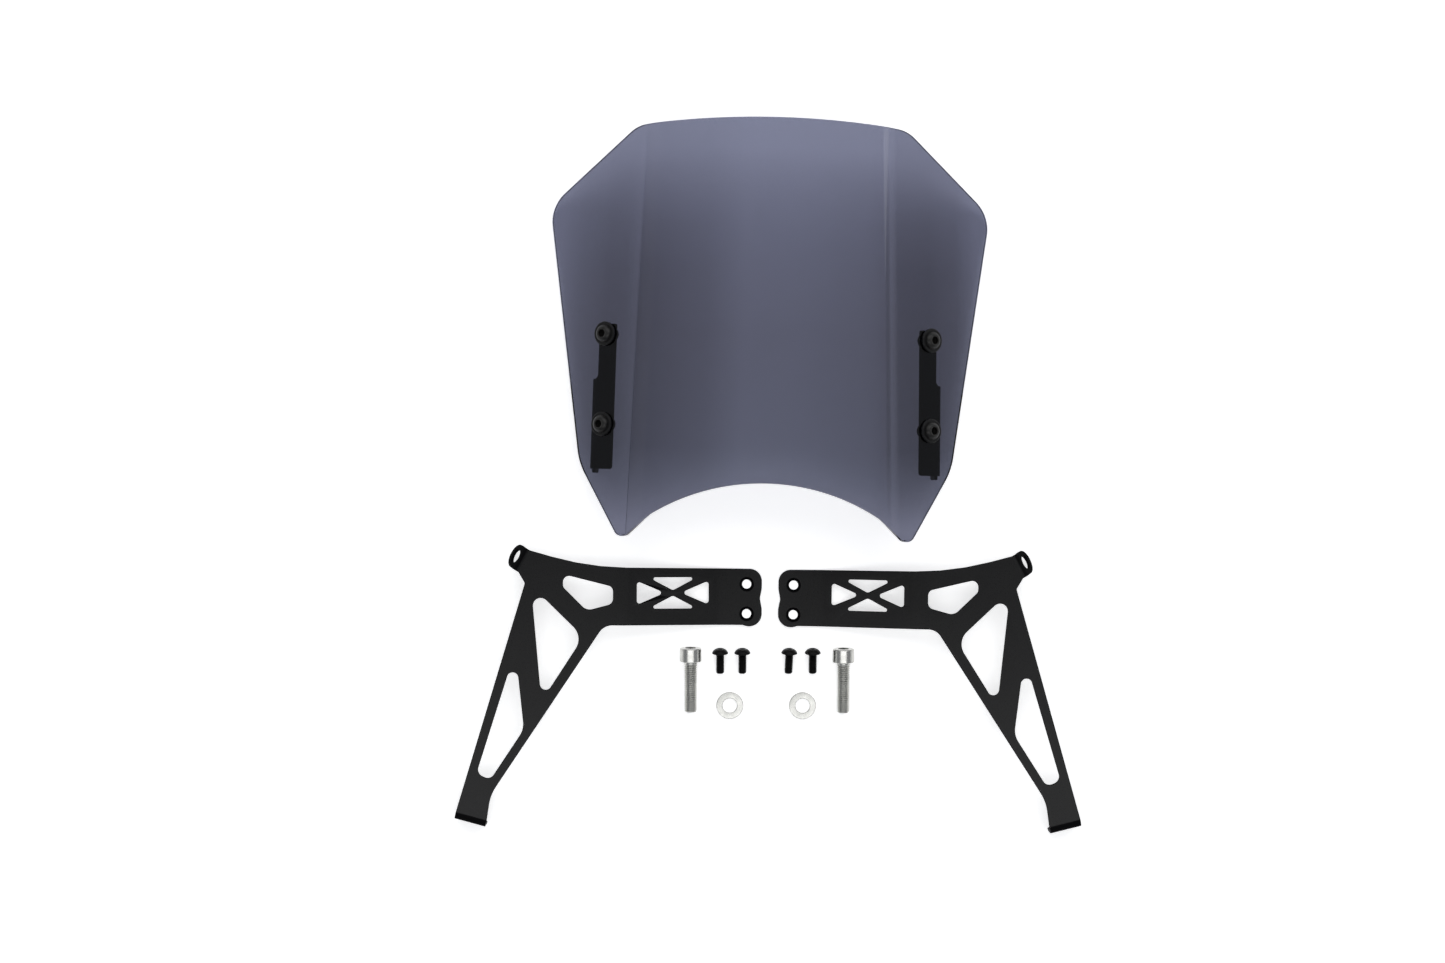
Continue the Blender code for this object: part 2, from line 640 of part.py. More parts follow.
def sunk_drill():
    """The tool that drills an end hole and countersinks its front, z = 0 on the sheet's middle."""
    top = ARM_THICKNESS / 2
    sink = ARM_SINK_RADIUS - ARM_HOLE_RADIUS
    reach = top + CUTTER_EXCESS
    profile = [
        (0.0, reach),
        (ARM_SINK_RADIUS + CUTTER_EXCESS, reach),
        (ARM_HOLE_RADIUS, top - sink),
        (ARM_HOLE_RADIUS, -reach),
        (0.0, -reach),
    ]
    return turned(profile)


def lying(size, x, y, turn):
    """Where a loose screw lies: tipped so that its head's rim and its tip both touch the table."""
    shank, length, head, _, _, _ = size
    tilt = math.atan((head - shank) / (length - CHAMFER))
    lift = head * math.cos(tilt)
    along = Matrix.Rotation(turn, 4, "Z") @ Matrix.Rotation(-math.pi / 2 + tilt, 4, "X")
    return Matrix.Translation((x, y, lift)) @ along


def make_loose_hardware():
    """The screws and washers that lie beside the arms."""
    for name, (x, y, turn) in LOOSE_CAP_SCREWS.items():
        new_object(name, MESHES["cap_screw"], ZINC, lying(M8_CAP, x, y, turn))
    for name, (x, y, turn) in LOOSE_BUTTON_SCREWS.items():
        new_object(name, MESHES["button_screw"], BLACK_OXIDE, lying(M5_BUTTON, x, y, turn))
    for name, (x, y) in LOOSE_WASHERS.items():
        new_object(name, MESHES["plain_washer"], ZINC, Matrix.Translation((x, y, 0.0)))


MESHES = {
    "head_washer": ring(*HEAD_WASHER),
    "plain_washer": ring(*PLAIN_WASHER),
    "isolating_pad": ring(HEAD_WASHER[0] - 0.0014, HEAD_WASHER[1], PAD_THICKNESS),
    "screen_nut": ring(*SCREEN_NUT),
    "arm_nut": ring(*ARM_NUT),
    "screen_screw": socket_screw(M6_BUTTON, is_domed=True),
    "button_screw": socket_screw(M5_BUTTON, is_domed=True),
    "cap_screw": socket_screw(M8_CAP, is_domed=False),
    "sunk_drill": sunk_drill(),
}
for shared in MESHES.values():
    smooth(shared)
make_screen()
for bracket_side, side_word in ((-1, "left"), (1, "right")):
    make_bracket_side(bracket_side, side_word)
for arm_name in ARM_LAYOUT:
    make_arm(arm_name)
make_loose_hardware()
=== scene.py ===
"""Looks of a motorcycle windshield screen kit that lies on a pale table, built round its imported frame.

Each class below is one kind of piece: its fields are the sizes that a workshop would need, and its
methods cut, bend and dress it. Every length is in metres, every angle in radians, and every place comes
from the frame.
"""

from __future__ import annotations

import logging
import math
from contextlib import contextmanager
from dataclasses import dataclass, field
from enum import Enum
from typing import Any, Callable, Iterator, Sequence

import bpy
import numpy as np
from mathutils import Matrix, Vector

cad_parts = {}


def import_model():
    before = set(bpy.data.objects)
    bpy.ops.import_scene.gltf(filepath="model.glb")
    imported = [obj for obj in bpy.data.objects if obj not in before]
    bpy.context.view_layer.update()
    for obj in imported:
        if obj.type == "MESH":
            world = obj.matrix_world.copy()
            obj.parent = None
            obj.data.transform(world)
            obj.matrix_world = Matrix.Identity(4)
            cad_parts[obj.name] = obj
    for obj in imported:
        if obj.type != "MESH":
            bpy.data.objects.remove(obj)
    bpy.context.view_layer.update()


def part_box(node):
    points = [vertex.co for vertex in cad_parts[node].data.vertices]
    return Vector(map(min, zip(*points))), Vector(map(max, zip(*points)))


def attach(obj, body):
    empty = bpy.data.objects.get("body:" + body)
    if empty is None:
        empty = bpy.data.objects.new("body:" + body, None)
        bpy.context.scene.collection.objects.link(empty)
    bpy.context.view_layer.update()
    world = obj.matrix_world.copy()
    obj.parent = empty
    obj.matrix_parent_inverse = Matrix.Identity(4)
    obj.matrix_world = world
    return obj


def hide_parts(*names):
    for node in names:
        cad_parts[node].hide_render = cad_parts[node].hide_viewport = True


LOG = logging.getLogger("screen_kit")
MM = 0.001

# Points closer than this are one, and steps between faces sharper or flatter than these are edges or none.
WELD = 1e-6
EDGE_ANGLE = math.radians(38.0)
SMOOTH_ANGLE = math.radians(50.0)
FLAT_ANGLE = math.radians(0.5)
NEARLY_STRAIGHT = math.radians(89.5)

# Sizes that several pieces share. The frame gap is what the CAD leaves between pieces that touch.
FRAME_GAP = 0.0003
SCREEN_THICKNESS = 0.0030
SCREEN_TOP = 0.2097
SCREEN_FOOT = -0.0360
CREASE_AT_TOP = 0.0676
CREASE_AT_ARCH = 0.0738
PAD_THICKNESS = 0.0006
STEEL_THICKNESS = 0.0020
ARM_HOLE_SPACING = 0.0175
ARM_HOLE_RADIUS = 0.0027

# Names of what each point keeps from its piece's own making: its place, and which way it faces.
OWN = "own"
FACING = "own_facing"

Corner = tuple[float, float, float]
Profile = list[tuple[float, float]]
Piece = bpy.types.Object
Material = bpy.types.Material
Tree = bpy.types.NodeTree
Socket = bpy.types.NodeSocket


class Side(Enum):
    LEFT = "left"
    RIGHT = "right"

    @property
    def sign(self) -> int:
        """-1 on the left and +1 on the right."""
        return -1 if self is Side.LEFT else 1


class Row(Enum):
    """The upper or lower one of a pair of screws."""

    UPPER = "upper"
    LOWER = "lower"


class Head(Enum):
    """How a screw's head is shaped."""

    BUTTON = "button"
    CAP = "cap"


# ---------------------------------------------------------------------------------------------------
# Working at the bench: selecting, editing, cutting and placing
# ---------------------------------------------------------------------------------------------------


def activate(piece: Piece) -> None:
    """Makes one piece the only selected and the active one."""
    bpy.ops.object.select_all(action="DESELECT")
    piece.select_set(True)
    bpy.context.view_layer.objects.active = piece


@contextmanager
def editing(piece: Piece, wanted: Callable[[bpy.types.MeshPolygon], bool] | None = None) -> Iterator[None]:
    """Edit mode on one piece.

    Args:
        piece: the mesh to edit.
        wanted: says which faces start selected; all of the mesh does without it.

    Returns:
        A context in which mesh operators act on the selection.
    """
    activate(piece)
    if wanted:
        mesh = piece.data
        for group in (mesh.vertices, mesh.edges, mesh.polygons):
            group.foreach_set("select", [False] * len(group))
        for face in mesh.polygons:
            face.select = wanted(face)
    bpy.context.tool_settings.mesh_select_mode = (not wanted, False, bool(wanted))
    bpy.ops.object.mode_set(mode="EDIT")
    if not wanted:
        bpy.ops.mesh.select_all(action="SELECT")
    yield
    bpy.ops.object.mode_set(mode="OBJECT")


def apply_modifier(piece: Piece, kind: str, **settings: Any) -> None:
    """Adds a modifier with its settings and applies it."""
    activate(piece)
    modifier = piece.modifiers.new(kind.lower(), kind)
    for name, value in settings.items():
        setattr(modifier, name, value)
    bpy.ops.object.modifier_apply(modifier=modifier.name)


def combine(piece: Piece, tool: Piece, operation: str) -> None:
    """Cuts a tool out of a piece, or joins it on, and removes the tool."""
    apply_modifier(piece, "BOOLEAN", operation=operation, object=tool, solver="EXACT")
    bpy.data.objects.remove(tool, do_unlink=True)


def break_edges(piece: Piece, width: float, segments: int = 2) -> None:
    """Rounds every sharp edge a little and shades the piece smooth, with its flat faces kept flat.

    Args:
        piece: the mesh to finish.
        width: how far the rounding reaches from the edge.
        segments: how many facets the rounding has.
    """
    apply_modifier(
        piece,
        "BEVEL",
        width=width,
        segments=segments,
        limit_method="ANGLE",
        angle_limit=EDGE_ANGLE,
        use_clamp_overlap=False,
        miter_outer="MITER_ARC",
    )
    activate(piece)
    bpy.ops.object.shade_smooth_by_angle(angle=SMOOTH_ANGLE)
    apply_modifier(piece, "WEIGHTED_NORMAL", keep_sharp=True, weight=90)


def remember_own_place(piece: Piece) -> None:
    """Keeps each point's place and facing in the piece's own making, for patterns that follow its shape."""
    mesh = piece.data
    for name, source in ((OWN, "co"), (FACING, "normal")):
        values = np.zeros(len(mesh.vertices) * 3, np.float32)
        mesh.vertices.foreach_get(source, values)
        attribute = mesh.attributes.new(name, "FLOAT_VECTOR", "POINT")
        attribute.data.foreach_set("vector", values)


def put(piece: Piece, place: Matrix) -> Piece:
    remember_own_place(piece)
    piece.data.transform(place)
    piece.data.update()
    return piece


def copy_of(piece: Piece, name: str) -> Piece:
    """A copy of a piece with a mesh of its own."""
    twin = piece.copy()
    twin.data = piece.data.copy()
    twin.name = name
    bpy.context.scene.collection.objects.link(twin)
    return twin


def points_of(piece: Piece) -> np.ndarray:
    """The different places of a mesh's points, one row each."""
    places = np.array([vertex.co for vertex in piece.data.vertices], float).reshape(-1, 3)
    return np.unique(places.round(7), axis=0)


# ---------------------------------------------------------------------------------------------------
# Reading the frame
# ---------------------------------------------------------------------------------------------------


def turned_place(node: str, top: float, heads_up: bool) -> Matrix:
    """Finds how a turned CAD piece stands, from the symmetry of its points.

    Args:
        node: the CAD node's name.
        top: how high its end face lies above z = 0 of the piece's own making.
    """
    places = points_of(bpy.data.objects[node])
    middle = places.mean(0)
    spread, axes = np.linalg.eigh(np.cov((places - middle).T))
    is_long = spread[1] - spread[0] < spread[2] - spread[1]
    axis = Vector(axes[:, 2] if is_long else axes[:, 0])
    along = (places - middle) @ np.array(axis)
    across = np.linalg.norm(places - middle - np.outer(along, np.array(axis)), axis=1)
    flip = axis.z < 0 if heads_up else along[across.argmax()] < 0
    if flip:
        axis, along = -axis, -along
    origin = Vector(middle) + axis * (along.max() - top)
    return Matrix.Translation(origin) @ axis.to_track_quat("Z", "Y").to_matrix().to_4x4()


def box_middle(node: str) -> Vector:
    """The middle of a CAD node's box."""
    low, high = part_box(node)
    return (low + high) / 2


def check_fit(piece: Piece, node: str) -> None:
    """Reports how far a piece's box is from its CAD node's box."""
    places = points_of(piece)
    low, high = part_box(node)
    off = max(np.abs(places.min(0) - np.array(low)).max(), np.abs(places.max(0) - np.array(high)).max())
    faces = len(piece.data.polygons)
    LOG.info("%s: %d faces, box within %.2f mm of the frame's", piece.name, faces, off / MM)


# ---------------------------------------------------------------------------------------------------
# Materials
# ---------------------------------------------------------------------------------------------------


def linear(code: str) -> tuple[float, float, float, float]:
    """Turns an sRGB hex colour into linear light.

    Args:
        code: six hex digits, red first.

    Returns:
        Red, green, blue and an alpha of 1.
    """
    parts = [int(code[i : i + 2], 16) / 255 for i in (0, 2, 4)]
    lit = [part / 12.92 if part <= 0.04045 else ((part + 0.055) / 1.055) ** 2.4 for part in parts]
    return (*lit, 1.0)


def add_node(
    tree: Tree,
    kind: str,
    settings: dict[str, Any] | None = None,
    links: dict[str | int, Socket] | None = None,
) -> bpy.types.Node:
    """Adds a node to a material.

    Args:
        tree: the material's node tree.
        kind: the node's type name.
        settings: the node's own properties, and its sockets' values by socket name.
        links: what feeds each input, by socket name or number.

    Returns:
        The new node.
    """
    node = tree.nodes.new(kind)
    for name, value in (settings or {}).items():
        if hasattr(node, name):
            setattr(node, name, value)
        else:
            node.inputs[name].default_value = value
    for name, source in (links or {}).items():
        tree.links.new(source, node.inputs[name])
    return node


def ramp_between(tree: Tree, source: Socket, stops: dict[float, float | str]) -> Socket:
    """Turns a value into a grey or a colour.

    Args:
        tree: the node tree.
        source: the value.
        stops: a grey value or a hex colour for each position, lowest position first.

    Returns:
        The colour's socket.
    """
    node = add_node(tree, "ShaderNodeValToRGB", links={"Fac": source})
    elements = node.color_ramp.elements
    for position in list(stops)[2:]:
        elements.new(position)
    for element, (position, value) in zip(elements, stops.items()):
        element.position = position
        element.color = linear(value) if isinstance(value, str) else (value, value, value, 1.0)
    return node.outputs["Color"]


class Mixture:
    """A material being mixed: a Principled shader and the patterns that feed it."""

    def __init__(self, name: str, follows_making: bool = True) -> None:
        """Starts a material.

        Args:
            name: the real finish's name.
            follows_making: True if patterns keep to each piece's own making, False for the object's place.
        """
        self.material = bpy.data.materials.new(name)
        self.material.use_nodes = True
        self.tree = self.material.node_tree
        self.shader = self.tree.nodes["Principled BSDF"]
        if follows_making:
            self.place = self.read(OWN)
        else:
            self.place = add_node(self.tree, "ShaderNodeTexCoord").outputs["Object"]

    def read(self, attribute: str) -> Socket:
        """The vector that a piece keeps at each point."""
        return add_node(self.tree, "ShaderNodeAttribute", {"attribute_name": attribute}).outputs["Vector"]

    def noise(self, size: float, detail: float, **more: float) -> Socket:
        """A cloudy value in patches of about the given size."""
        settings = {"Scale": 1 / size, "Detail": detail, **more}
        return add_node(self.tree, "ShaderNodeTexNoise", settings, {"Vector": self.place}).outputs["Fac"]

    def ramp(self, source: Socket, stops: dict[float, float | str]) -> Socket:
        """Turns a value into a grey or a colour."""
        return ramp_between(self.tree, source, stops)

    def math(self, operation: str, *inputs: Socket | float) -> Socket:
        """The result of one arithmetic step on sockets or numbers."""
        node = add_node(self.tree, "ShaderNodeMath", {"operation": operation})
        for number, value in enumerate(inputs):
            if isinstance(value, float):
                node.inputs[number].default_value = value
            else:
                self.tree.links.new(value, node.inputs[number])
        return node.outputs["Value"]

    def bump(self, height: Socket, strength: float, distance: float) -> Socket:
        """The facing of a surface whose pattern stands this high."""
        settings = {"Strength": strength, "Distance": distance}
        return add_node(self.tree, "ShaderNodeBump", settings, {"Height": height}).outputs["Normal"]

    def blend(self, body: Socket, colour: str, share: Socket) -> Socket:
        """Mixes a hex colour into a body colour by a share."""
        settings = {"data_type": "RGBA", "B": linear(colour)}
        return add_node(self.tree, "ShaderNodeMix", settings, {0: share, 6: body}).outputs[2]

    def worn(self, body: Socket, colour: str, wear: dict[float, float]) -> Socket:
        """Rubs a hex colour into a body colour along the edges, by shares for how sharply they turn."""
        turn = add_node(self.tree, "ShaderNodeNewGeometry").outputs["Pointiness"]
        return self.blend(body, colour, self.ramp(turn, wear))

    def feed(self, inputs: dict[str, Any]) -> None:
        """Gives inputs of the shader what feeds them, or their constant values."""
        for name, source in inputs.items():
            if isinstance(source, Socket):
                self.tree.links.new(source, self.shader.inputs[name])
            else:
                self.shader.inputs[name].default_value = source


@dataclass(frozen=True)
class PowderCoat:
    """Black polyester powder coat: satin with a fine grain on the faces, with painted shade round the bends
    and on faces turned forward or back, where its sheen is turned down.
    """

    name: str = "fine_texture_black_powder_coat"
    colour: str = "070708"
    thin_colour: str = "0B0B0C"
    edge_colour: str = "1E1E1F"
    edge_wear: float = 0.55
    grain: float = 0.45 * MM
    grain_height: float = 0.02 * MM
    cloud: float = 24 * MM
    roughness: tuple[float, float] = (0.26, 0.34)
    gloss: float = 0.19
    # Painted shade: the share of the gloss kept on bent faces and on faces turned forward or back, such as
    # the foot's lip.
    shaded_gloss_share: float = 0.1
    foot_tilt: tuple[float, float] = (0.105, 0.17)
    bend_tilt: tuple[float, float] = (0.90, 0.95)

    def build(self) -> Material:
        """Makes the material: grain as bump and gloss, faint clouds in colour, paler worn edges."""
        mix = Mixture(self.name)
        grain = mix.noise(self.grain, 3.0, Roughness=0.6)
        body = mix.ramp(mix.noise(self.cloud, 4.0), {0.38: self.colour, 0.66: self.thin_colour})
        inputs = {
            "Base Color": mix.worn(body, self.edge_colour, {0.515: 0.0, 0.60: self.edge_wear}),
            "Specular IOR Level": self.sheen(mix),
            "Roughness": mix.ramp(grain, {0.3: self.roughness[0], 0.7: self.roughness[1]}),
            "Normal": mix.bump(grain, 0.35, self.grain_height),
        }
        mix.feed(inputs)
        return mix.material

    def sheen(self, mix: Mixture) -> Socket:
        """How strongly the coat shines: full on level faces, and turned down as painted shade where the
        sheet bends away or faces forward or back.
        """
        ways = add_node(mix.tree, "ShaderNodeSeparateXYZ", links={"Vector": mix.read(FACING)}).outputs
        forward, upward = (mix.math("ABSOLUTE", ways[way]) for way in "YZ")
        # Painted shade: faces turned forward or back, such as the foot's lip, lose most of their sheen.
        foot = mix.ramp(forward, {self.foot_tilt[0]: 1.0, self.foot_tilt[1]: self.shaded_gloss_share})
        shaded_gloss = self.shaded_gloss_share * self.gloss
        # Painted shade: faces tilted away from level, round the bends, lose most of their sheen.
        flat = mix.ramp(upward, {self.bend_tilt[0]: shaded_gloss, self.bend_tilt[1]: self.gloss})
        return mix.math("MULTIPLY", foot, flat)


@dataclass(frozen=True)
class BlackOxide:
    """Black-oxide steel, oiled: nearly black, half glossy, faintly brown where the oil has dried."""

    name: str = "oiled_black_oxide_steel"
    colour: str = "060607"
    dry_colour: str = "0B0A0A"
    edge_colour: str = "242322"
    edge_wear: float = 0.8
    blotch: float = 2.2 * MM
    grain: float = 0.15 * MM
    grain_height: float = 0.01 * MM
    roughness: tuple[float, float] = (0.30, 0.46)
    gloss: float = 0.1
    # Painted shade: inside this radius round the axis the steel has no sheen, so the socket looks dark.
    socket_radius: float = 0.0
    socket_shade_span: float = 10 * MM
    socket_shade_fade: float = 0.02

    def build(self) -> Material:
        """Makes the material: blotches in colour and gloss, a fine grain, edges rubbed brighter."""
        mix = Mixture(self.name)
        blotch = mix.noise(self.blotch, 4.0)
        body = mix.ramp(blotch, {0.4: self.colour, 0.7: self.dry_colour})
        inputs = {
            "Base Color": mix.worn(body, self.edge_colour, {0.52: 0.0, 0.62: self.edge_wear}),
            "Roughness": mix.ramp(blotch, {0.35: self.roughness[0], 0.7: self.roughness[1]}),
            "Normal": mix.bump(mix.noise(self.grain, 2.0), 0.2, self.grain_height),
            "Specular IOR Level": self.sheen(mix),
        }
        mix.feed(inputs)
        return mix.material

    def sheen(self, mix: Mixture) -> Socket:
        """How strongly the steel shines: not at all down the socket, as painted shade in the recess."""
        flat = add_node(mix.tree, "ShaderNodeVectorMath", {"operation": "MULTIPLY"}, {0: mix.place})
        flat.inputs[1].default_value = (1 / self.socket_shade_span, 1 / self.socket_shade_span, 0.0)
        spread = flat.outputs["Vector"]
        reach = add_node(mix.tree, "ShaderNodeVectorMath", {"operation": "LENGTH"}, {0: spread})
        # Painted shade: no sheen inside the socket's radius.
        rim = self.socket_radius / self.socket_shade_span
        return mix.ramp(reach.outputs["Value"], {rim: 0.0, rim + self.socket_shade_fade: self.gloss})


@dataclass(frozen=True)
class ZincPlate:
    """Bright zinc-plated steel: silver with a faint cool cast, tool marks showing through the plating."""

    name: str = "bright_zinc_plated_steel"
    colour: str = "C8C8C4"
    dull_colour: str = "BABAB6"
    ring_pitch: float = 0.35 * MM
    ring_height: float = 0.005 * MM
    rings_per_scale: float = 3.18
    blotch: float = 5.0 * MM
    roughness: tuple[float, float] = (0.24, 0.29)

    def build(self) -> Material:
        """Makes the material: turned rings round the piece's own axis, cloudy gloss."""
        mix = Mixture(self.name)
        blotch = mix.noise(self.blotch, 5.0)
        settings = {
            "wave_type": "RINGS",
            "rings_direction": "Z",
            "Scale": 1 / self.ring_pitch / self.rings_per_scale,
            "Distortion": 1.2,
            "Detail": 2.0,
            "Detail Scale": 1.5,
        }
        rings = add_node(mix.tree, "ShaderNodeTexWave", settings, {"Vector": mix.place}).outputs["Fac"]
        inputs = {
            "Base Color": mix.ramp(blotch, {0.35: self.colour, 0.7: self.dull_colour}),
            "Roughness": mix.ramp(blotch, {0.3: self.roughness[0], 0.75: self.roughness[1]}),
            "Normal": mix.bump(rings, 0.1, self.ring_height),
            "Metallic": 1.0,
        }
        mix.feed(inputs)
        return mix.material


@dataclass(frozen=True)
class MouldedBlack:
    """A moulded black part, such as a nylon washer or a rubber pad: dull black with a faint flow grain."""

    name: str
    colour: str
    bloom_colour: str
    grain: float
    roughness: tuple[float, float]
    gloss: float
    grain_height: float = 0.015 * MM

    def build(self) -> Material:
        """Makes the material: a grain in colour, gloss and bump."""
        mix = Mixture(self.name)
        grain = mix.noise(self.grain, 4.0)
        inputs = {
            "Base Color": mix.ramp(grain, {0.35: self.colour, 0.75: self.bloom_colour}),
            "Roughness": mix.ramp(grain, {0.3: self.roughness[0], 0.7: self.roughness[1]}),
            "Normal": mix.bump(grain, 0.3, self.grain_height),
            "Specular IOR Level": self.gloss,
        }
        mix.feed(inputs)
        return mix.material


@dataclass(frozen=True)
class SmokeAcrylic:
    """Smoke-tinted cast acrylic, heat-folded and flame-polished: clear blue-grey, glassy, a little wavy.

    Places across the sheet are shares of the crease's half width, and places up it are shares of its height.
    """

    name: str = "smoke_tinted_cast_acrylic"
    # Painted light: the corner and top colours are paler where light reaches under the sheet's lowest
    # corners and top edge.
    painted_light_corner_colour: str = "787A8D"
    low_colour: str = "6D7082"
    colour: str = "6E7082"
    painted_light_top_colour: str = "7D8095"
    # Painted shade: blended in beside the creases and on the wings, by the shares across and up the sheet
    # below.
    painted_shade_colour: str = "16121F"
    crease_narrowing: float = (CREASE_AT_TOP - CREASE_AT_ARCH) / SCREEN_TOP
    shade_across: tuple[tuple[float, float], ...] = (
        (-1.75, 0.0),
        (-1.55, 0.26),
        (-1.32, 0.43),
        (-1.18, 0.41),
        (-1.07, 0.27),
        (-1.055, 0.58),
        (-1.035, 0.53),
        (-0.93, 0.46),
        (-0.88, 0.43),
        (-0.50, 0.27),
        (-0.20, 0.03),
        (0.20, 0.05),
        (0.80, 0.19),
        (0.94, 0.29),
        (0.95, 0.50),
        (0.97, 0.46),
        (0.98, 0.22),
        (1.01, 0.30),
        (1.04, 0.50),
        (1.32, 0.53),
        (1.55, 0.42),
        (1.75, 0.08),
    )
    shade_upward: tuple[tuple[float, float], ...] = (
        (0.0, 0.15),
        (0.15, 0.55),
        (0.23, 0.95),
        (0.45, 0.95),
        (0.65, 0.95),
        (0.75, 0.75),
        (0.85, 0.42),
        (1.0, 0.16),
    )
    cloud: float = 40 * MM
    cloud_depth: float = 0.05
    wave: float = 60 * MM
    wave_height: float = 0.2 * MM
    polish: float = 6 * MM
    roughness: tuple[float, float] = (0.02, 0.05)
    ior: float = 1.49

    def build(self) -> Material:
        """Makes the material: one tinted pass at each face, so light and sight pass a sheet twice."""
        mix = Mixture(self.name)
        tint_with_painted_light_and_shade = self.tint_with_painted_light_and_shade(mix)
        polish = mix.noise(self.polish, 5.0)
        inputs = {
            "Base Color": tint_with_painted_light_and_shade,
            "Roughness": mix.ramp(polish, {0.35: self.roughness[0], 0.7: self.roughness[1]}),
            "Normal": mix.bump(mix.noise(self.wave, 1.0), 0.1, self.wave_height),
            "IOR": self.ior,
            "Transmission Weight": 1.0,
        }
        mix.feed(inputs)
        clear = add_node(mix.tree, "ShaderNodeBsdfTransparent", links={"Color": tint_with_painted_light_and_shade}).outputs["BSDF"]
        is_shadow = add_node(mix.tree, "ShaderNodeLightPath").outputs["Is Shadow Ray"]
        sources = {0: is_shadow, 1: mix.shader.outputs["BSDF"], 2: clear}
        either = add_node(mix.tree, "ShaderNodeMixShader", links=sources)
        mix.tree.links.new(either.outputs["Shader"], mix.tree.nodes["Material Output"].inputs["Surface"])
        return mix.material

    def tint_with_painted_light_and_shade(self, mix: Mixture) -> Socket:
        """The sheet's tint with painted light and shade: painted light paler towards the top edge and the
        lowest corners, painted shade deeper beside the creases and on the wings.
        """
        parts = add_node(mix.tree, "ShaderNodeSeparateXYZ", links={"Vector": mix.place}).outputs
        crease = mix.math("MULTIPLY_ADD", parts["Y"], self.crease_narrowing, CREASE_AT_ARCH)
        across = mix.math("MULTIPLY_ADD", mix.math("DIVIDE", parts["X"], crease), 0.25, 0.5)
        up = mix.math("DIVIDE", mix.math("SUBTRACT", parts["Y"], SCREEN_FOOT), SCREEN_TOP - SCREEN_FOOT)
        sideways = mix.ramp(across, {0.5 + share / 4: depth for share, depth in self.shade_across})
        upward = mix.ramp(up, dict(self.shade_upward))
        cloud = mix.noise(self.cloud, 2.0)
        # Painted shade: how much of the shade colour each place gets, with a faint random cloud added.
        depth = mix.math("MULTIPLY", sideways, upward)
        depth = mix.math("MULTIPLY_ADD", cloud, self.cloud_depth, depth)
        # Painted light: paler towards the lowest corners and the top edge.
        stops = {0.05: self.painted_light_corner_colour, 0.15: self.low_colour, 0.5: self.colour, 0.93: self.painted_light_top_colour}
        return mix.blend(mix.ramp(up, stops), self.painted_shade_colour, depth)


@dataclass(frozen=True)
class TablePaper:
    """White matt paper on a light table: plain and pale, and it glows enough to lift the shadows."""

    name: str = "matt_white_paper"
    colour: str = "F4F4F4"
    shade_colour: str = "EFEFEF"
    fibre: float = 3.0 * MM
    roughness: float = 0.9
    gloss: float = 0.2
    glow: float = 0.62

    def build(self) -> Material:
        """Makes the material: a very faint fibre in its colour."""
        mix = Mixture(self.name, follows_making=False)
        inputs = {
            "Base Color": mix.ramp(mix.noise(self.fibre, 3.0), {0.3: self.colour, 0.7: self.shade_colour}),
            "Roughness": self.roughness,
            "Specular IOR Level": self.gloss,
            "Emission Color": linear(self.colour),
            "Emission Strength": self.glow,
        }
        mix.feed(inputs)
        return mix.material


# The screen screws get painted shade down their sockets: no sheen within 2.25 mm of the axis.
DRY_OXIDE = BlackOxide(
    "dry_black_oxide_steel", "0E0E0E", "151413", "363432", gloss=0.32, socket_radius=2.25 * MM
)
NYLON = MouldedBlack("moulded_black_nylon", "0D0D0E", "131314", 0.5 * MM, (0.35, 0.5), 0.22)
RUBBER = MouldedBlack("black_epdm_rubber", "161616", "222120", 0.8 * MM, (0.7, 0.85), 0.3)


class Finishes:
    def __init__(self) -> None:
        """Mixes every finish."""
        self.acrylic = SmokeAcrylic().build()
        self.coat = PowderCoat().build()
        self.oxide = BlackOxide().build()
        self.dry_oxide = DRY_OXIDE.build()
        self.zinc = ZincPlate().build()
        self.nylon = NYLON.build()
        self.rubber = RUBBER.build()


def dress(piece: Piece, material: Material, body: str, node: str) -> None:
    """Gives a finished piece its material and its body, hides the CAD node it stands for and reports how its
    box fits that node's.
    """
    piece.data.materials.clear()
    piece.data.materials.append(material)
    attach(piece, body)
    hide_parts(node)
    check_fit(piece, node)


# ---------------------------------------------------------------------------------------------------
# Flat sheets: outlines, bends and holes
# ---------------------------------------------------------------------------------------------------


def rounded(corners: Sequence[Corner], step: float = math.radians(5.0)) -> list[Vector]:
    """Rounds an outline's corners by arcs.

    Args:
        corners: x, y and radius of each corner, in order.
        step: the most that an arc turns between two points.

    Returns:
        The closed outline's points.
    """
    points = []
    for index, (x, y, radius) in enumerate(corners):
        corner = Vector((x, y))
        before = (Vector(corners[index - 1][:2]) - corner).normalized()
        after = (Vector(corners[(index + 1) % len(corners)][:2]) - corner).normalized()
        half = before.angle(after) / 2
        if radius <= 0 or half > NEARLY_STRAIGHT:
            points.append(corner)
            continue
        middle = corner + (before + after).normalized() * radius / math.sin(half)
        start = corner + before * radius / math.tan(half) - middle
        turn = math.pi - 2 * half
        steps = max(1, math.ceil(turn / step))
        side = 1 if before.x * after.y - before.y * after.x < 0 else -1
        points += [middle + Matrix.Rotation(side * turn * i / steps, 2) @ start for i in range(steps + 1)]
    return points


def circle(centre: Sequence[float], radius: float, segments: int = 64) -> list[Vector]:
    """The points of a round hole."""
    angles = (2 * math.pi * i / segments for i in range(segments))
    return [Vector(centre) + radius * Vector((math.cos(a), math.sin(a))) for a in angles]


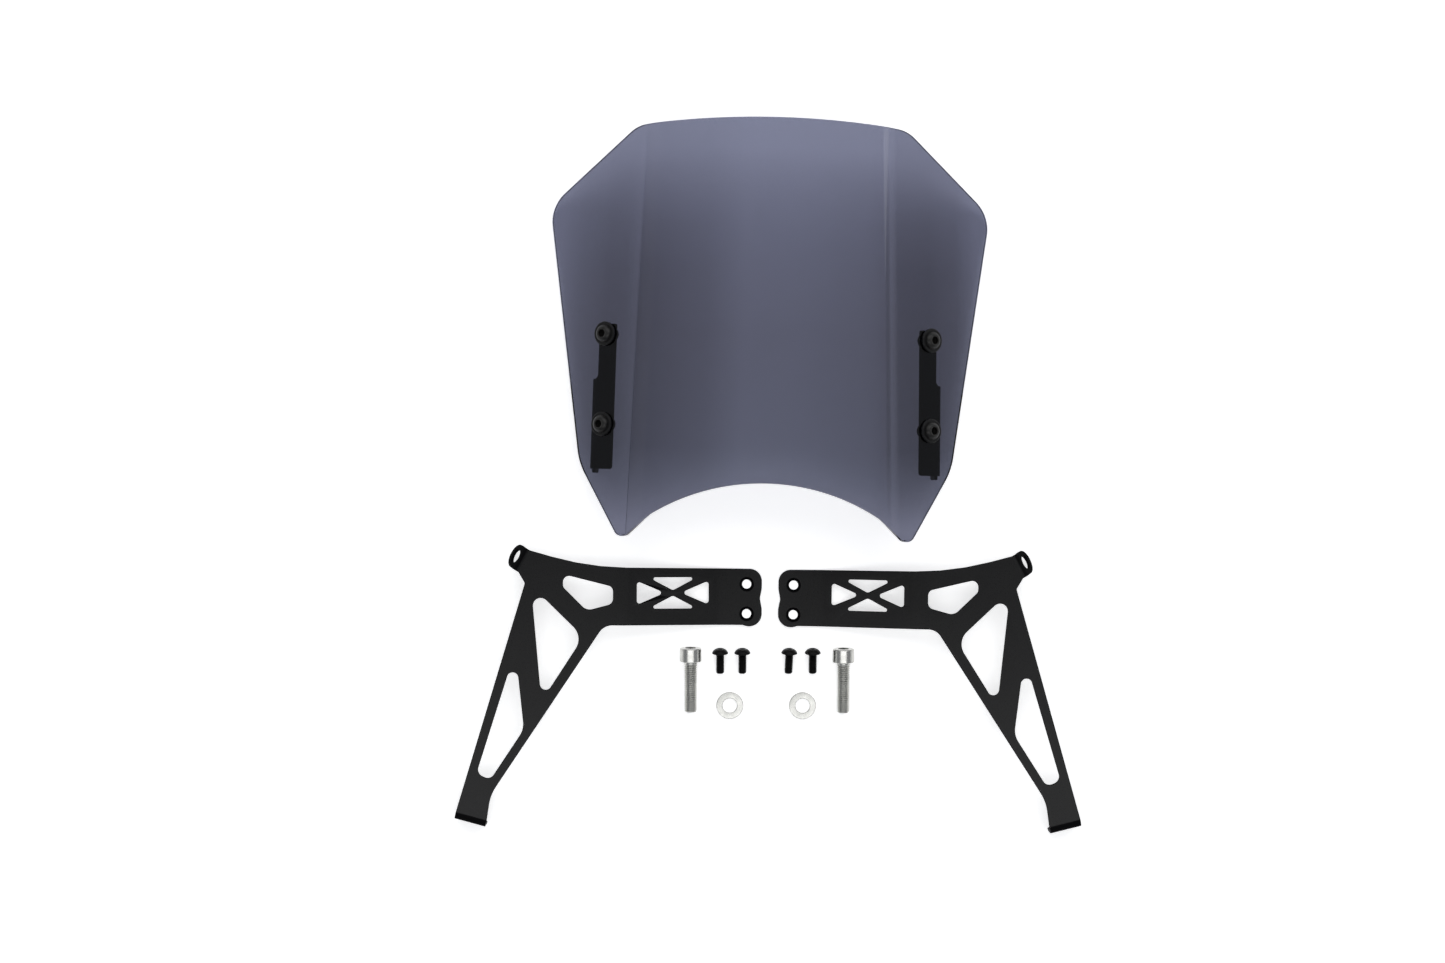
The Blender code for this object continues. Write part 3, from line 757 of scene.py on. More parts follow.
def cut_sheet(name: str, outlines: Sequence[Sequence[Vector]], thickness: float) -> Piece:
    """Cuts a flat sheet to an outline, pierced by further outlines, its middle at z = 0.

    Args:
        name: the piece's name.
        outlines: the outer outline first, then its openings.
        thickness: the sheet's thickness, or 0 for a surface.

    Returns:
        The sheet as a mesh.
    """
    curve = bpy.data.curves.new(name, "CURVE")
    curve.dimensions = "2D"
    curve.fill_mode = "BOTH"
    curve.extrude = thickness / 2
    for outline in outlines:
        spline = curve.splines.new("POLY")
        spline.points.add(len(outline) - 1)
        spline.points.foreach_set("co", [value for p in outline for value in (p.x, p.y, 0.0, 1.0)])
        spline.use_cyclic_u = True
    piece = bpy.data.objects.new(name, curve)
    bpy.context.scene.collection.objects.link(piece)
    activate(piece)
    bpy.ops.object.convert(target="MESH")
    with editing(piece):
        bpy.ops.mesh.remove_doubles(threshold=WELD)
        bpy.ops.mesh.dissolve_limited(angle_limit=FLAT_ANGLE)
    return piece


def score(piece: Piece, point: Vector, across: Vector) -> None:
    """Adds edges where an upright wall through the point, facing across, meets the sheet."""
    wall = {"plane_co": (point.x, point.y, 0.0), "plane_no": (across.x, across.y, 0.0)}
    with editing(piece):
        bpy.ops.mesh.bisect(**wall, threshold=WELD)


def press_bend(
    piece: Piece, start: Vector, outward: Vector, angle: float, radius: float, steps: int = 8
) -> None:
    """Bends down what lies outward of a line, round an arc of the sheet's middle.

    Args:
        piece: the sheet to bend.
        start: a point on the line where the bend starts.
        outward: the direction across the line, away from what stays flat.
        angle: how far the flange turns down.
        radius: the bend's radius at the sheet's middle.
        steps: how many facets the bend has.
    """
    outward = outward.normalized()
    for i in range(steps + 1):
        score(piece, start + outward * radius * angle * i / steps, outward)
    for vertex in piece.data.vertices:
        flat = Vector(vertex.co.xy)
        past = (flat - start).dot(outward)
        if past <= 0:
            continue
        turned = min(past / radius, angle)
        rest = past - radius * turned
        rise = vertex.co.z
        forward = radius * math.sin(turned) + rest * math.cos(turned) + rise * math.sin(turned)
        drop = radius * (1 - math.cos(turned)) + rest * math.sin(turned) - rise * math.cos(turned)
        vertex.co.xy = flat + outward * (forward - past)
        vertex.co.z = -drop
    piece.data.update()


# ---------------------------------------------------------------------------------------------------
# Turned pieces: lathe work, threads and sockets
# ---------------------------------------------------------------------------------------------------


def lathe(name: str, profile: Profile, steps: int = 64) -> Piece:
    """Turns a solid about z.

    Args:
        name: the piece's name.
        profile: radius and height of each point, from the top of the axis to its bottom.
        steps: how many facets a full turn has.

    Returns:
        The closed solid.
    """
    mesh = bpy.data.meshes.new(name)
    points = [(radius, 0.0, height) for radius, height in profile]
    mesh.from_pydata(points, [(i, i + 1) for i in range(len(points) - 1)], [])
    piece = bpy.data.objects.new(name, mesh)
    bpy.context.scene.collection.objects.link(piece)
    with editing(piece):
        bpy.ops.mesh.spin(steps=steps, angle=2 * math.pi, center=(0.0, 0.0, 0.0), axis=(0.0, 0.0, 1.0))
        bpy.ops.mesh.select_all(action="SELECT")
        bpy.ops.mesh.remove_doubles(threshold=WELD)
        bpy.ops.mesh.normals_make_consistent(inside=False)
    return piece


def fillet(start: tuple[float, float], end: tuple[float, float], bulge: float, steps: int = 4) -> Profile:
    """Points along a shallow arc between two profile points, bulging to the left of the way by a length."""
    a, b = Vector(start), Vector(end)
    way = b - a
    side = Vector((-way.y, way.x)).normalized()
    shares = (i / steps for i in range(steps + 1))
    return [tuple(a + way * s + side * bulge * 4 * s * (1 - s)) for s in shares]


@dataclass(frozen=True)
class Thread:
    """A metric thread, its crests an eighth of the pitch wide."""

    radius: float
    pitch: float
    depth_share: float = 0.6134
    crest_share: float = 0.125
    flank_angle: float = math.radians(30.0)
    steps: int = 36
    spare_turns: int = 2

    def cut(self, name: str, top: float, tip: float, chamfer: float) -> Piece:
        """Makes a threaded rod about z.

        Args:
            name: the rod's name.
            top: the height of its upper end.
            tip: the height of its lower end.
            chamfer: how far its tip narrows.

        Returns:
            The closed rod.
        """
        depth = self.depth_share * self.pitch
        root = self.radius - depth
        flank = depth * math.tan(self.flank_angle)
        crest = self.crest_share * self.pitch
        low = (self.pitch - crest) / 2 - flank
        heights = (0.0, low, low + flank, low + flank + crest, self.pitch - low, self.pitch)
        radii = (root, root, self.radius, self.radius, root, root)
        mesh = bpy.data.meshes.new(name)
        base = tip - self.spare_turns * self.pitch
        points = [(radius, 0.0, base + height) for radius, height in zip(radii, heights)]
        mesh.from_pydata(points, [(i, i + 1) for i in range(len(points) - 1)], [])
        rod = bpy.data.objects.new(name, mesh)
        bpy.context.scene.collection.objects.link(rod)
        apply_modifier(
            rod,
            "SCREW",
            axis="Z",
            screw_offset=self.pitch,
            iterations=math.ceil((top - tip) / self.pitch) + 2 * self.spare_turns,
            steps=self.steps,
            render_steps=self.steps,
        )
        with editing(rod):
            bpy.ops.mesh.remove_doubles(threshold=WELD)
            for height, rest in ((top, {"clear_outer": True}), (tip, {"clear_inner": True})):
                bpy.ops.mesh.select_all(action="SELECT")
                at = {"plane_co": (0.0, 0.0, height), "plane_no": (0.0, 0.0, 1.0), "threshold": WELD / 10}
                bpy.ops.mesh.bisect(**at, **rest, use_fill=True)
            bpy.ops.mesh.select_all(action="SELECT")
            bpy.ops.mesh.normals_make_consistent(inside=False)
        for vertex in rod.data.vertices:
            allowed = self.radius - chamfer + (vertex.co.z - tip)
            reach = vertex.co.xy.length
            if reach > allowed:
                vertex.co.xy = vertex.co.xy * allowed / reach
        rod.data.update()
        return rod


@dataclass(frozen=True)
class Screw:
    """A socket screw: its head stands above z = 0, its thread hangs below. Shares are of the head's size."""

    head: Head
    thread: Thread
    length: float
    head_radius: float
    head_height: float
    across_flats: float
    socket_depth: float
    neck: float
    chamfer: float = 0.6 * MM
    edge_rounding: float = 0.06 * MM
    neck_share: float = 0.985
    neck_fillet: float = 0.3 * MM
    seat_share: float = 0.95
    cap_edge: float = 0.6 * MM
    cap_bulge: float = 0.12 * MM
    cap_foot: float = 0.25 * MM
    dome_flat_share: float = 0.78
    dome_rim_share: float = 0.16
    dome_foot_share: float = 0.06
    dome_bulge_share: float = 0.075
    point_share: float = 0.3
    point_taper: float = 0.35

    @property
    def top(self) -> float:
        """How high its end face lies."""
        return self.head_height

    def head_profile(self) -> Profile:
        """The turned outline of the head and of the plain neck under it."""
        radius, height = self.head_radius, self.head_height
        neck_radius = self.neck_share * self.thread.radius
        under = [(self.seat_share * radius, 0.0), (neck_radius + self.neck_fillet, 0.0)]
        foot = [*under, (neck_radius, -self.neck_fillet), (neck_radius, -self.neck), (0.0, -self.neck)]
        if self.head is Head.CAP:
            rim = fillet((radius - self.cap_edge, height), (radius, height - self.cap_edge), self.cap_bulge)
            return [(0.0, height), *rim, (radius, self.cap_foot), *foot]
        flat = (self.dome_flat_share * self.across_flats, height)
        rim = (radius, self.dome_rim_share * height)
        dome = fillet(flat, rim, self.dome_bulge_share * radius, steps=10)
        return [(0.0, height), *dome, (radius, self.dome_foot_share * height), *foot]

    def make(self, name: str) -> Piece:
        """Makes the screw: head turned, socket pressed, thread rolled."""
        screw = lathe(name, self.head_profile())
        solid_floor = self.head_height - self.socket_depth
        rod = self.thread.cut("rod", solid_floor / 2, -self.length, self.chamfer)
        combine(screw, rod, "UNION")
        combine(screw, self.socket_tool(), "DIFFERENCE")
        break_edges(screw, self.edge_rounding, segments=1)
        return screw

    def socket_tool(self) -> Piece:
        """The hexagonal punch that makes the socket, with a conical point and a flared mouth."""
        radius = self.across_flats / 2 / math.cos(math.pi / 6)
        depth = self.socket_depth + MM
        floor = self.head_height - self.socket_depth
        bpy.ops.mesh.primitive_cylinder_add(
            vertices=6, radius=radius, depth=depth, location=(0.0, 0.0, floor + depth / 2)
        )
        punch = bpy.context.object
        bpy.ops.object.transform_apply(location=True, rotation=True, scale=True)
        point = self.point_share * radius
        with editing(punch, lambda face: face.normal.z < -0.9):
            bpy.ops.mesh.extrude_region_move(TRANSFORM_OT_translate={"value": (0.0, 0.0, -point)})
            narrower = (self.point_taper, self.point_taper, 1.0)
            bpy.ops.transform.resize(value=narrower, center_override=(0.0, 0.0, floor - point))
        return punch


@dataclass(frozen=True)
class Ring:
    """A flat ring, such as a washer, a pad or a clinch nut's barrel, standing on z = 0."""

    outer: float
    inner: float
    thickness: float
    edge: float

    @property
    def top(self) -> float:
        """How high its end face lies."""
        return self.thickness

    def make(self, name: str) -> Piece:
        """Punches the ring from a disc and breaks its edges."""
        bpy.ops.object.select_all(action="DESELECT")
        bpy.ops.mesh.primitive_cylinder_add(
            vertices=72, radius=self.outer, depth=self.thickness, location=(0.0, 0.0, self.thickness / 2)
        )
        ring = bpy.context.object
        ring.name = name
        bpy.ops.object.transform_apply(location=True, rotation=True, scale=True)
        with editing(ring, lambda face: abs(face.normal.z) > 0.9):
            bpy.ops.mesh.inset(thickness=self.outer - self.inner)
            bpy.ops.mesh.bridge_edge_loops()
        break_edges(ring, self.edge, segments=3)
        return ring


def fasten(
    kind: Screw | Ring, pattern: Piece, node: str, finish: Material, body: str, heads_up: bool
) -> None:
    """Copies a fastener to the place of its CAD node and dresses it.

    Args:
        kind: the fastener's kind.
        pattern: one finished fastener of that kind, in its own making.
        node: the CAD node that it stands for.
        finish: its material.
        body: the body that it rides on.
        heads_up: False if it lies on its side.
    """
    piece = copy_of(pattern, f"{node}_finished")
    put(piece, turned_place(node, kind.top, heads_up))
    dress(piece, finish, body, node)



@dataclass
class TintedScreen:
    """The windshield: one tinted sheet, rolled across its middle and folded along two creases."""

    thickness: float = SCREEN_THICKNESS
    crown_height: float = 0.0491
    crown_sag: float = 0.0080
    top_y: float = SCREEN_TOP
    top_radius: float = 0.6600
    top_half_width: float = 0.0600
    arch_radius: float = 0.1240
    arch_half_width: float = 0.0660
    corners: tuple[Corner, ...] = (
        (0.0782, 0.2052, 0.0180),
        (0.1301, 0.1609, 0.0210),
        (0.1090, 0.0099, 0.0400),
        (0.0839, -0.0348, 0.0049),
    )
    crease_at_top: float = CREASE_AT_TOP
    crease_at_arch: float = CREASE_AT_ARCH
    crease_blend: float = 0.0050
    wing_angle: float = math.radians(33.0)
    hole_radius: float = 0.0034
    edge_rounding: float = 0.0005
    middle_strips: int = 56
    blend_strips: int = 12
    wing_strips: tuple[float, ...] = (1.20, 1.33, 1.46, 1.59, 1.72)

    def height(self, x: float, y: float) -> float:
        """The front face's height over the table, at a place in plan from the arch's crown."""
        crease = self.crease_at_arch + (self.crease_at_top - self.crease_at_arch) * y / self.top_y
        past = abs(x) - crease
        inner_slope = 2 * self.crown_sag / crease
        outer_slope = math.tan(self.wing_angle)
        edge_height = self.crown_height - self.crown_sag
        if past <= -self.crease_blend:
            return self.crown_height - self.crown_sag * (x / crease) ** 2
        if past >= self.crease_blend:
            return edge_height - outer_slope * past
        share = past + self.crease_blend
        start = edge_height + inner_slope * self.crease_blend
        return start - inner_slope * share - (outer_slope - inner_slope) * share**2 / (4 * self.crease_blend)

    @staticmethod
    def arc(half_width: float, radius: float, top: float, steps: int) -> list[Corner]:
        """Points along an arc that is level at x = 0, from left to right."""
        spread = math.asin(half_width / radius)
        angles = [spread * (2 * i / steps - 1) for i in range(steps + 1)]
        return [(radius * math.sin(a), top - radius * (1 - math.cos(a)), 0.0) for a in angles]

    def outline(self) -> list[Vector]:
        """The sheet's closed outline in plan."""
        left = [(-x, y, radius) for x, y, radius in reversed(self.corners)]
        top = self.arc(self.top_half_width, self.top_radius, self.top_y, steps=24)
        arch = self.arc(self.arch_half_width, self.arch_radius, 0.0, steps=48)
        return rounded([*top, *self.corners, *arch[::-1], *left], step=math.radians(3.0))

    def rulings(self) -> list[float]:
        """Where the sheet's straight lines run, as shares of the crease's half width."""
        blend = self.crease_blend / self.crease_at_arch
        middle = [(1 - blend) * (2 * i / self.middle_strips - 1) for i in range(self.middle_strips + 1)]
        wing = [1 - blend + 2 * blend * i / self.blend_strips for i in range(1, self.blend_strips + 1)]
        wing += self.wing_strips
        return middle + wing + [-share for share in wing]

    def make(self, hole_axes: Sequence[Matrix]) -> Piece:
        """Forms the screen.

        Args:
            hole_axes: where each screw passes, z along the screw.

        Returns:
            The finished sheet in its place.
        """
        sheet = cut_sheet("tinted_screen", [self.outline()], 0.0)
        for share in self.rulings():
            top = Vector((share * self.crease_at_top, self.top_y))
            bottom = Vector((share * self.crease_at_arch, 0.0))
            along = top - bottom
            score(sheet, bottom, Vector((along.y, -along.x)))
        for vertex in sheet.data.vertices:
            vertex.co.z = self.height(vertex.co.x, vertex.co.y)
        with editing(sheet):
            bpy.ops.mesh.normals_make_consistent(inside=False)
        if sheet.data.polygons[0].normal.z < 0:
            with editing(sheet):
                bpy.ops.mesh.flip_normals()
        apply_modifier(sheet, "SOLIDIFY", thickness=self.thickness, offset=-1.0, use_even_offset=True)
        low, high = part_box("screen")
        origin = Vector(((low.x + high.x) / 2, high.y - self.top_y, high.z - self.crown_height))
        place = Matrix.Translation(origin)
        for axis in hole_axes:
            reach = 4 * self.thickness
            bpy.ops.mesh.primitive_cylinder_add(vertices=64, radius=self.hole_radius, depth=reach)
            drill = bpy.context.object
            drill.data.transform(place.inverted() @ axis)
            combine(sheet, drill, "DIFFERENCE")
        break_edges(sheet, self.edge_rounding, segments=4)
        return put(sheet, place)


@dataclass
class AdapterBracket:
    """A bent steel bracket behind a wing: a screwed plate, and a flange that takes the side arm."""

    thickness: float = STEEL_THICKNESS
    hole_radius: float = 0.0033
    screw_spacing: float = 0.0525
    bend_x: float = 0.0081
    bend_radius: float = 0.0025
    bend_angle: float = math.radians(66.0)
    flange_depth: float = 0.0150
    tab_depth: float = 0.0050
    flange_top: float = -0.0260
    flange_bottom: float = -0.0807
    plate_bottom: float = -0.0785
    inner_x: float = -0.0047
    outer_x: float = 0.0067
    top: float = 0.0060
    step: float = 0.0020
    arm_hole_spacing: float = ARM_HOLE_SPACING
    arm_hole_depth: float = 0.0075
    arm_hole_radius: float = ARM_HOLE_RADIUS
    edge_rounding: float = 0.00025

    def outline(self, sign: int) -> list[Vector]:
        """The flat blank's outline, the flange part of the same sheet."""
        bend_end = self.bend_x + self.bend_radius * self.bend_angle
        flange_edge = bend_end + self.flange_depth
        tab_edge = bend_end + self.tab_depth
        corners = [
            (self.inner_x, self.top, 0.0010),
            (self.outer_x, self.top, 0.0010),
            (self.outer_x, self.flange_top + self.step, 0.0),
            (self.bend_x, self.flange_top, 0.0),
            (flange_edge, self.flange_top, 0.0020),
            (flange_edge, self.flange_bottom, 0.0020),
            (tab_edge, self.flange_bottom, 0.0008),
            (tab_edge, self.plate_bottom, 0.0),
            (self.inner_x, self.plate_bottom, 0.0018),
        ]
        return rounded([(sign * x, y, radius) for x, y, radius in corners], step=math.radians(9.0))

    def make(self, side: Side, face: Matrix) -> Piece:
        """Cuts and bends one bracket.

        Args:
            side: the wing it is for.
            face: the wing's front face at its upper screw, z outward.

        Returns:
            The bracket in its place.
        """
        arc = self.bend_radius * self.bend_angle
        holes = [circle((0.0, y), self.hole_radius) for y in (0.0, -self.screw_spacing)]
        middle = (self.flange_top + self.flange_bottom) / 2
        hole_x = side.sign * (self.bend_x + arc + self.arm_hole_depth)
        for y in (middle + self.arm_hole_spacing / 2, middle - self.arm_hole_spacing / 2):
            holes.append(circle((hole_x, y), self.arm_hole_radius))
        blank = cut_sheet(f"bracket_{side.value}", [self.outline(side.sign), *holes], self.thickness)
        start = Vector((side.sign * self.bend_x, 0.0))
        press_bend(blank, start, Vector((side.sign, 0.0)), self.bend_angle, self.bend_radius, steps=8)
        break_edges(blank, self.edge_rounding)
        drop = SCREEN_THICKNESS + PAD_THICKNESS + 2 * FRAME_GAP + self.thickness / 2
        return put(blank, face @ Matrix.Translation((0.0, 0.0, -drop)))


@dataclass
class SideArm:
    """A laser-cut and bent steel arm, x along it towards its end holes, y up."""

    thickness: float = STEEL_THICKNESS
    face_height: float = 0.0160
    hole_spacing: float = ARM_HOLE_SPACING
    hole_radius: float = ARM_HOLE_RADIUS
    sink_radius: float = 0.0042
    ear_root_upper: tuple[float, float] = (-0.1270, 0.0283)
    ear_root_lower: tuple[float, float] = (-0.1338, 0.0156)
    ear_length: float = 0.0160
    ear_radius: float = 0.0072
    ear_hole_radius: float = 0.00425
    ear_bend: float = math.radians(60.0)
    ear_bend_offset: float = 0.0003
    ear_bend_radius: float = 0.0030
    lip_outer: tuple[float, float] = (-0.16945, -0.1243)
    lip_inner: tuple[float, float] = (-0.15145, -0.1291)
    lip_length: float = 0.0174
    lip_bend: float = math.radians(90.0)
    lip_bend_radius: float = 0.0042
    lip_corner: float = 0.0020
    step_start: float = -0.0725
    step_end: float = -0.0145
    step_blend: float = 0.0040
    step_cuts: int = 9
    edge_rounding: float = 0.00025
    top_edge: tuple[Corner, ...] = ((0.00895, 0.0177, 0.0072), (-0.0930, 0.0188, 0.1700))
    notch: Corner = (-0.1300, 0.0092, 0.0020)
    lower_edge: tuple[Corner, ...] = (
        (-0.1494, -0.1150, 0.0250),
        (-0.0835, -0.0153, 0.0090),
        (-0.0025, -0.0154, 0.0040),
        (0.0005, -0.0162, 0.0040),
        (0.00895, -0.0162, 0.0074),
        (0.00895, -0.0056, 0.0060),
        (0.0078, 0.0004, 0.0060),
        (0.00895, 0.0062, 0.0060),
    )
    knee_opening: tuple[Corner, ...] = (
        (-0.1077, 0.0145, 0.0036),
        (-0.0784, 0.0073, 0.0035),
        (-0.0784, -0.0026, 0.0040),
        (-0.0938, -0.0067, 0.0060),
        (-0.1077, 0.0070, 0.0030),
    )
    upper_leg_opening: tuple[Corner, ...] = (
        (-0.1264, 0.0079, 0.0046),
        (-0.0956, -0.0220, 0.0100),
        (-0.11995, -0.0599, 0.0034),
    )
    lower_leg_opening: tuple[Corner, ...] = (
        (-0.1353, -0.0302, 0.00335),
        (-0.1301, -0.0763, 0.0120),
        (-0.1497, -0.1062, 0.0043),
        (-0.1577, -0.1025, 0.0043),
    )
    cross_openings: tuple[tuple[Corner, ...], ...] = (
        ((-0.0645, 0.0107, 0.0015), (-0.0645, -0.0033, 0.0015), (-0.0484, 0.0037, 0.0014)),
        ((-0.0225, 0.0107, 0.0015), (-0.0225, -0.0033, 0.0015), (-0.0388, 0.0037, 0.0014)),
        ((-0.0578, 0.0128, 0.0010), (-0.0292, 0.0128, 0.0010), (-0.0435, 0.0052, 0.0020)),
        ((-0.0578, -0.0056, 0.0010), (-0.0292, -0.0056, 0.0010), (-0.0435, 0.0020, 0.0020)),
    )

    def bend_ways(self) -> tuple[Vector, Vector, Vector]:
        """The middle of the ear's root, and the ways out of the arm at the ear and at the foot's lip."""
        upper, lower = Vector(self.ear_root_upper), Vector(self.ear_root_lower)
        along_root = (upper - lower).normalized()
        along_lip = (Vector(self.lip_inner) - Vector(self.lip_outer)).normalized()
        ear_out = Vector((-along_root.y, along_root.x))
        return (upper + lower) / 2, ear_out, Vector((along_lip.y, -along_lip.x))

    def outline(self) -> list[Vector]:
        """The flat blank's outline, with the ear and the lip unbent."""
        _, ear_out, lip_out = self.bend_ways()
        roots = (self.ear_root_upper, self.ear_root_lower)
        ear = [(*(Vector(root) + ear_out * self.ear_length), self.ear_radius) for root in roots]
        ends = (self.lip_outer, self.lip_inner)
        lip = [(*(Vector(end) + lip_out * self.lip_length), self.lip_corner) for end in ends]
        start = [*self.top_edge, (*self.ear_root_upper, 0.0015), *ear, (*self.ear_root_lower, 0.0008)]
        foot = [self.notch, (*self.lip_outer, 0.0), *lip, (*self.lip_inner, 0.0)]
        return rounded([*start, *foot, *self.lower_edge])

    def drop(self, x: float) -> float:
        """How far the arm's face has stepped down at a distance along it."""
        slope = (self.face_height - self.thickness) / (self.step_end - self.step_start)

        def ramp(past: float) -> float:
            """Rises from level to a slope of one over the blend."""
            if past <= -self.step_blend:
                return 0.0
            if past >= self.step_blend:
                return past
            return (past + self.step_blend) ** 2 / (4 * self.step_blend)

        return slope * (ramp(x - self.step_start) - ramp(x - self.step_end))

    def drill(self, height: float) -> Piece:
        """The countersinking drill for an end hole, its flare starting at the sheet's front."""
        top = height + self.thickness / 2
        sink = self.sink_radius - self.hole_radius
        reach = 0.002
        profile = [
            (0.0, top + reach),
            (self.sink_radius + reach, top + reach),
            (self.hole_radius, top - sink),
            (self.hole_radius, height - self.thickness / 2 - reach),
            (0.0, height - self.thickness / 2 - reach),
        ]
        return lathe("drill", profile)

    def make(self, side: Side, node: str, turn: float) -> Piece:
        """Cuts, bends and drills one arm.

        Args:
            side: the arm's side; the right arm is the left one's mirror image.
            node: the CAD node that says where it lies.
            turn: how far it is turned on the table.

        Returns:
            The arm in its place.
        """
        hand = -side.sign
        root, ear_out, lip_out = self.bend_ways()
        ear_hole = circle(root + ear_out * (self.ear_length - self.ear_radius), self.ear_hole_radius)
        leg = (self.knee_opening, self.upper_leg_opening, self.lower_leg_opening)
        openings = [rounded(opening) for opening in (*leg, *self.cross_openings)]
        outlines = [self.outline(), *openings, ear_hole]
        handed = [[Vector((hand * p.x, p.y)) for p in outline] for outline in outlines]
        arm = cut_sheet(f"side_arm_{side.value}", handed, self.thickness)
        ear_start = root + ear_out * self.ear_bend_offset
        for start, out, angle, radius in (
            (ear_start, ear_out, self.ear_bend, self.ear_bend_radius),
            (Vector(self.lip_outer), lip_out, self.lip_bend, self.lip_bend_radius),
        ):
            flipped = Vector((hand * out.x, out.y))
            press_bend(arm, Vector((hand * start.x, start.y)), flipped, angle, radius)
        for centre in (self.step_start, self.step_end):
            for i in range(self.step_cuts):
                at = centre + self.step_blend * (2 * i / (self.step_cuts - 1) - 1)
                score(arm, Vector((hand * at, 0.0)), Vector((1.0, 0.0)))
        for vertex in arm.data.vertices:
            vertex.co.z -= self.drop(hand * vertex.co.x)
        for row in (1, -1):
            tool = self.drill(-self.drop(0.0))
            tool.data.transform(Matrix.Translation((0.0, row * self.hole_spacing / 2, 0.0)))
            combine(arm, tool, "DIFFERENCE")
        break_edges(arm, self.edge_rounding)
        spun = Matrix.Rotation(turn, 4, "Z")
        places = points_of(arm) @ np.array(spun.to_3x3()).T
        middle = Vector((places.min(0) + places.max(0)) / 2)
        return put(arm, Matrix.Translation(box_middle(node) - middle) @ spun)


M5_BUTTON = Screw(
    head=Head.BUTTON,
    thread=Thread(0.00245, 0.0008),
    length=0.0120,
    head_radius=0.00475,
    head_height=0.00275,
    across_flats=0.0030,
    socket_depth=0.0016,
    neck=0.0007,
)
M6_BUTTON = Screw(
    head=Head.BUTTON,
    thread=Thread(0.00295, 0.0010),
    length=0.0120,
    head_radius=0.00510,
    head_height=0.00240,
    across_flats=0.0040,
    socket_depth=0.0014,
    neck=0.0040,
)
M8_CAP = Screw(
    head=Head.CAP,
    thread=Thread(0.00395, 0.00125),
    length=0.0300,
    head_radius=0.00650,
    head_height=0.00800,
    across_flats=0.0060,
    socket_depth=0.0040,
    neck=0.0018,
)
HEAD_WASHER = Ring(0.0070, 0.0033, 0.0015, edge=0.0004)
PLAIN_WASHER = Ring(0.0080, 0.0042, 0.0016, edge=0.0004)
ISOLATING_PAD = Ring(0.0056, 0.0033, PAD_THICKNESS, edge=0.0001)
SCREEN_NUT = Ring(0.0043, 0.0033, 0.0020, edge=0.0003)
ARM_NUT = Ring(0.0040, 0.0028, 0.0030, edge=0.0003)


@dataclass
class ScreenAssembly:
    """The screen with its two brackets, and the screws, washers, pads and nuts that join them."""

    finishes: Finishes
    body: str = "screen_assembly"

    def wing_face(self, side: Side) -> Matrix:
        """The wing's front face at its upper screw: x outward on the right, y up, z out of the face."""
        upper = turned_place(f"head_washer_{side.value}_upper", HEAD_WASHER.thickness, True)
        lower = turned_place(f"head_washer_{side.value}_lower", HEAD_WASHER.thickness, True)
        out = upper.to_3x3().col[2].normalized()
        up = (upper.translation - lower.translation).normalized()
        right = up.cross(out).normalized()
        turned = Matrix((right, out.cross(right), out)).transposed().to_4x4()
        return Matrix.Translation(upper.translation - out * FRAME_GAP) @ turned

    def build(self) -> None:
        """Builds the screen, its brackets and their fasteners."""
        faces = {side: self.wing_face(side) for side in Side}
        holes = [
            turned_place(f"head_washer_{side.value}_{row.value}", HEAD_WASHER.thickness, True)
            for side in Side
            for row in Row
        ]
        screen = TintedScreen().make(holes)
        dress(screen, self.finishes.acrylic, self.body, "screen")
        for side in Side:
            bracket = AdapterBracket().make(side, faces[side])
            node = f"adapter_bracket_{side.value}"
            dress(bracket, self.finishes.coat, self.body, node)
        stack = (
            (HEAD_WASHER, "head_washer", self.finishes.nylon, "black_nylon"),
            (M6_BUTTON, "screen_screw", self.finishes.dry_oxide, "black_oxide_steel"),
            (ISOLATING_PAD, "isolating_pad", self.finishes.rubber, "black_rubber"),
            (SCREEN_NUT, "screen_nut", self.finishes.oxide, "black_oxide_steel"),
            (ARM_NUT, "arm_nut", self.finishes.oxide, "black_oxide_steel"),
        )
        for kind, word, finish, slot in stack:
            pattern = kind.make(f"{word}_pattern")
            for side in Side:
                for row in Row:
                    node = f"{word}_{side.value}_{row.value}"
                    fasten(kind, pattern, node, finish, self.body, heads_up=True)
            bpy.data.objects.remove(pattern, do_unlink=True)


@dataclass
class LooseParts:
    """The side arms, screws and washers that lie beside the screen."""

    finishes: Finishes
    arm_turns: dict[Side, float] = field(
        default_factory=lambda: {Side.LEFT: math.radians(0.91), Side.RIGHT: math.radians(0.30)}
    )

    def build(self) -> None:
        """Builds the arms and lays out the loose fasteners."""
        for side, turn in self.arm_turns.items():
            node = f"arm_{side.value}"
            arm = SideArm().make(side, node, turn)
            dress(arm, self.finishes.coat, f"{side.value}_arm", node)
        zinc, oxide = self.finishes.zinc, self.finishes.oxide
        screws = {f"cap_screw_{side.value}": f"{side.value}_cap_screw" for side in Side}
        washers = {f"plain_washer_{side.value}": f"{side.value}_washer" for side in Side}
        buttons = {f"button_screw_{number}": f"button_screw_{number}_body" for number in range(1, 5)}
        for kind, bodies, finish, slot in (
            (M8_CAP, screws, zinc, "zinc_plated_steel"),
            (PLAIN_WASHER, washers, zinc, "zinc_plated_steel"),
            (M5_BUTTON, buttons, oxide, "black_oxide_steel"),
        ):
            pattern = kind.make("pattern")
            for node, body in bodies.items():
                fasten(kind, pattern, node, finish, body, heads_up=kind is PLAIN_WASHER)
            bpy.data.objects.remove(pattern, do_unlink=True)


# ---------------------------------------------------------------------------------------------------
# The studio
# ---------------------------------------------------------------------------------------------------


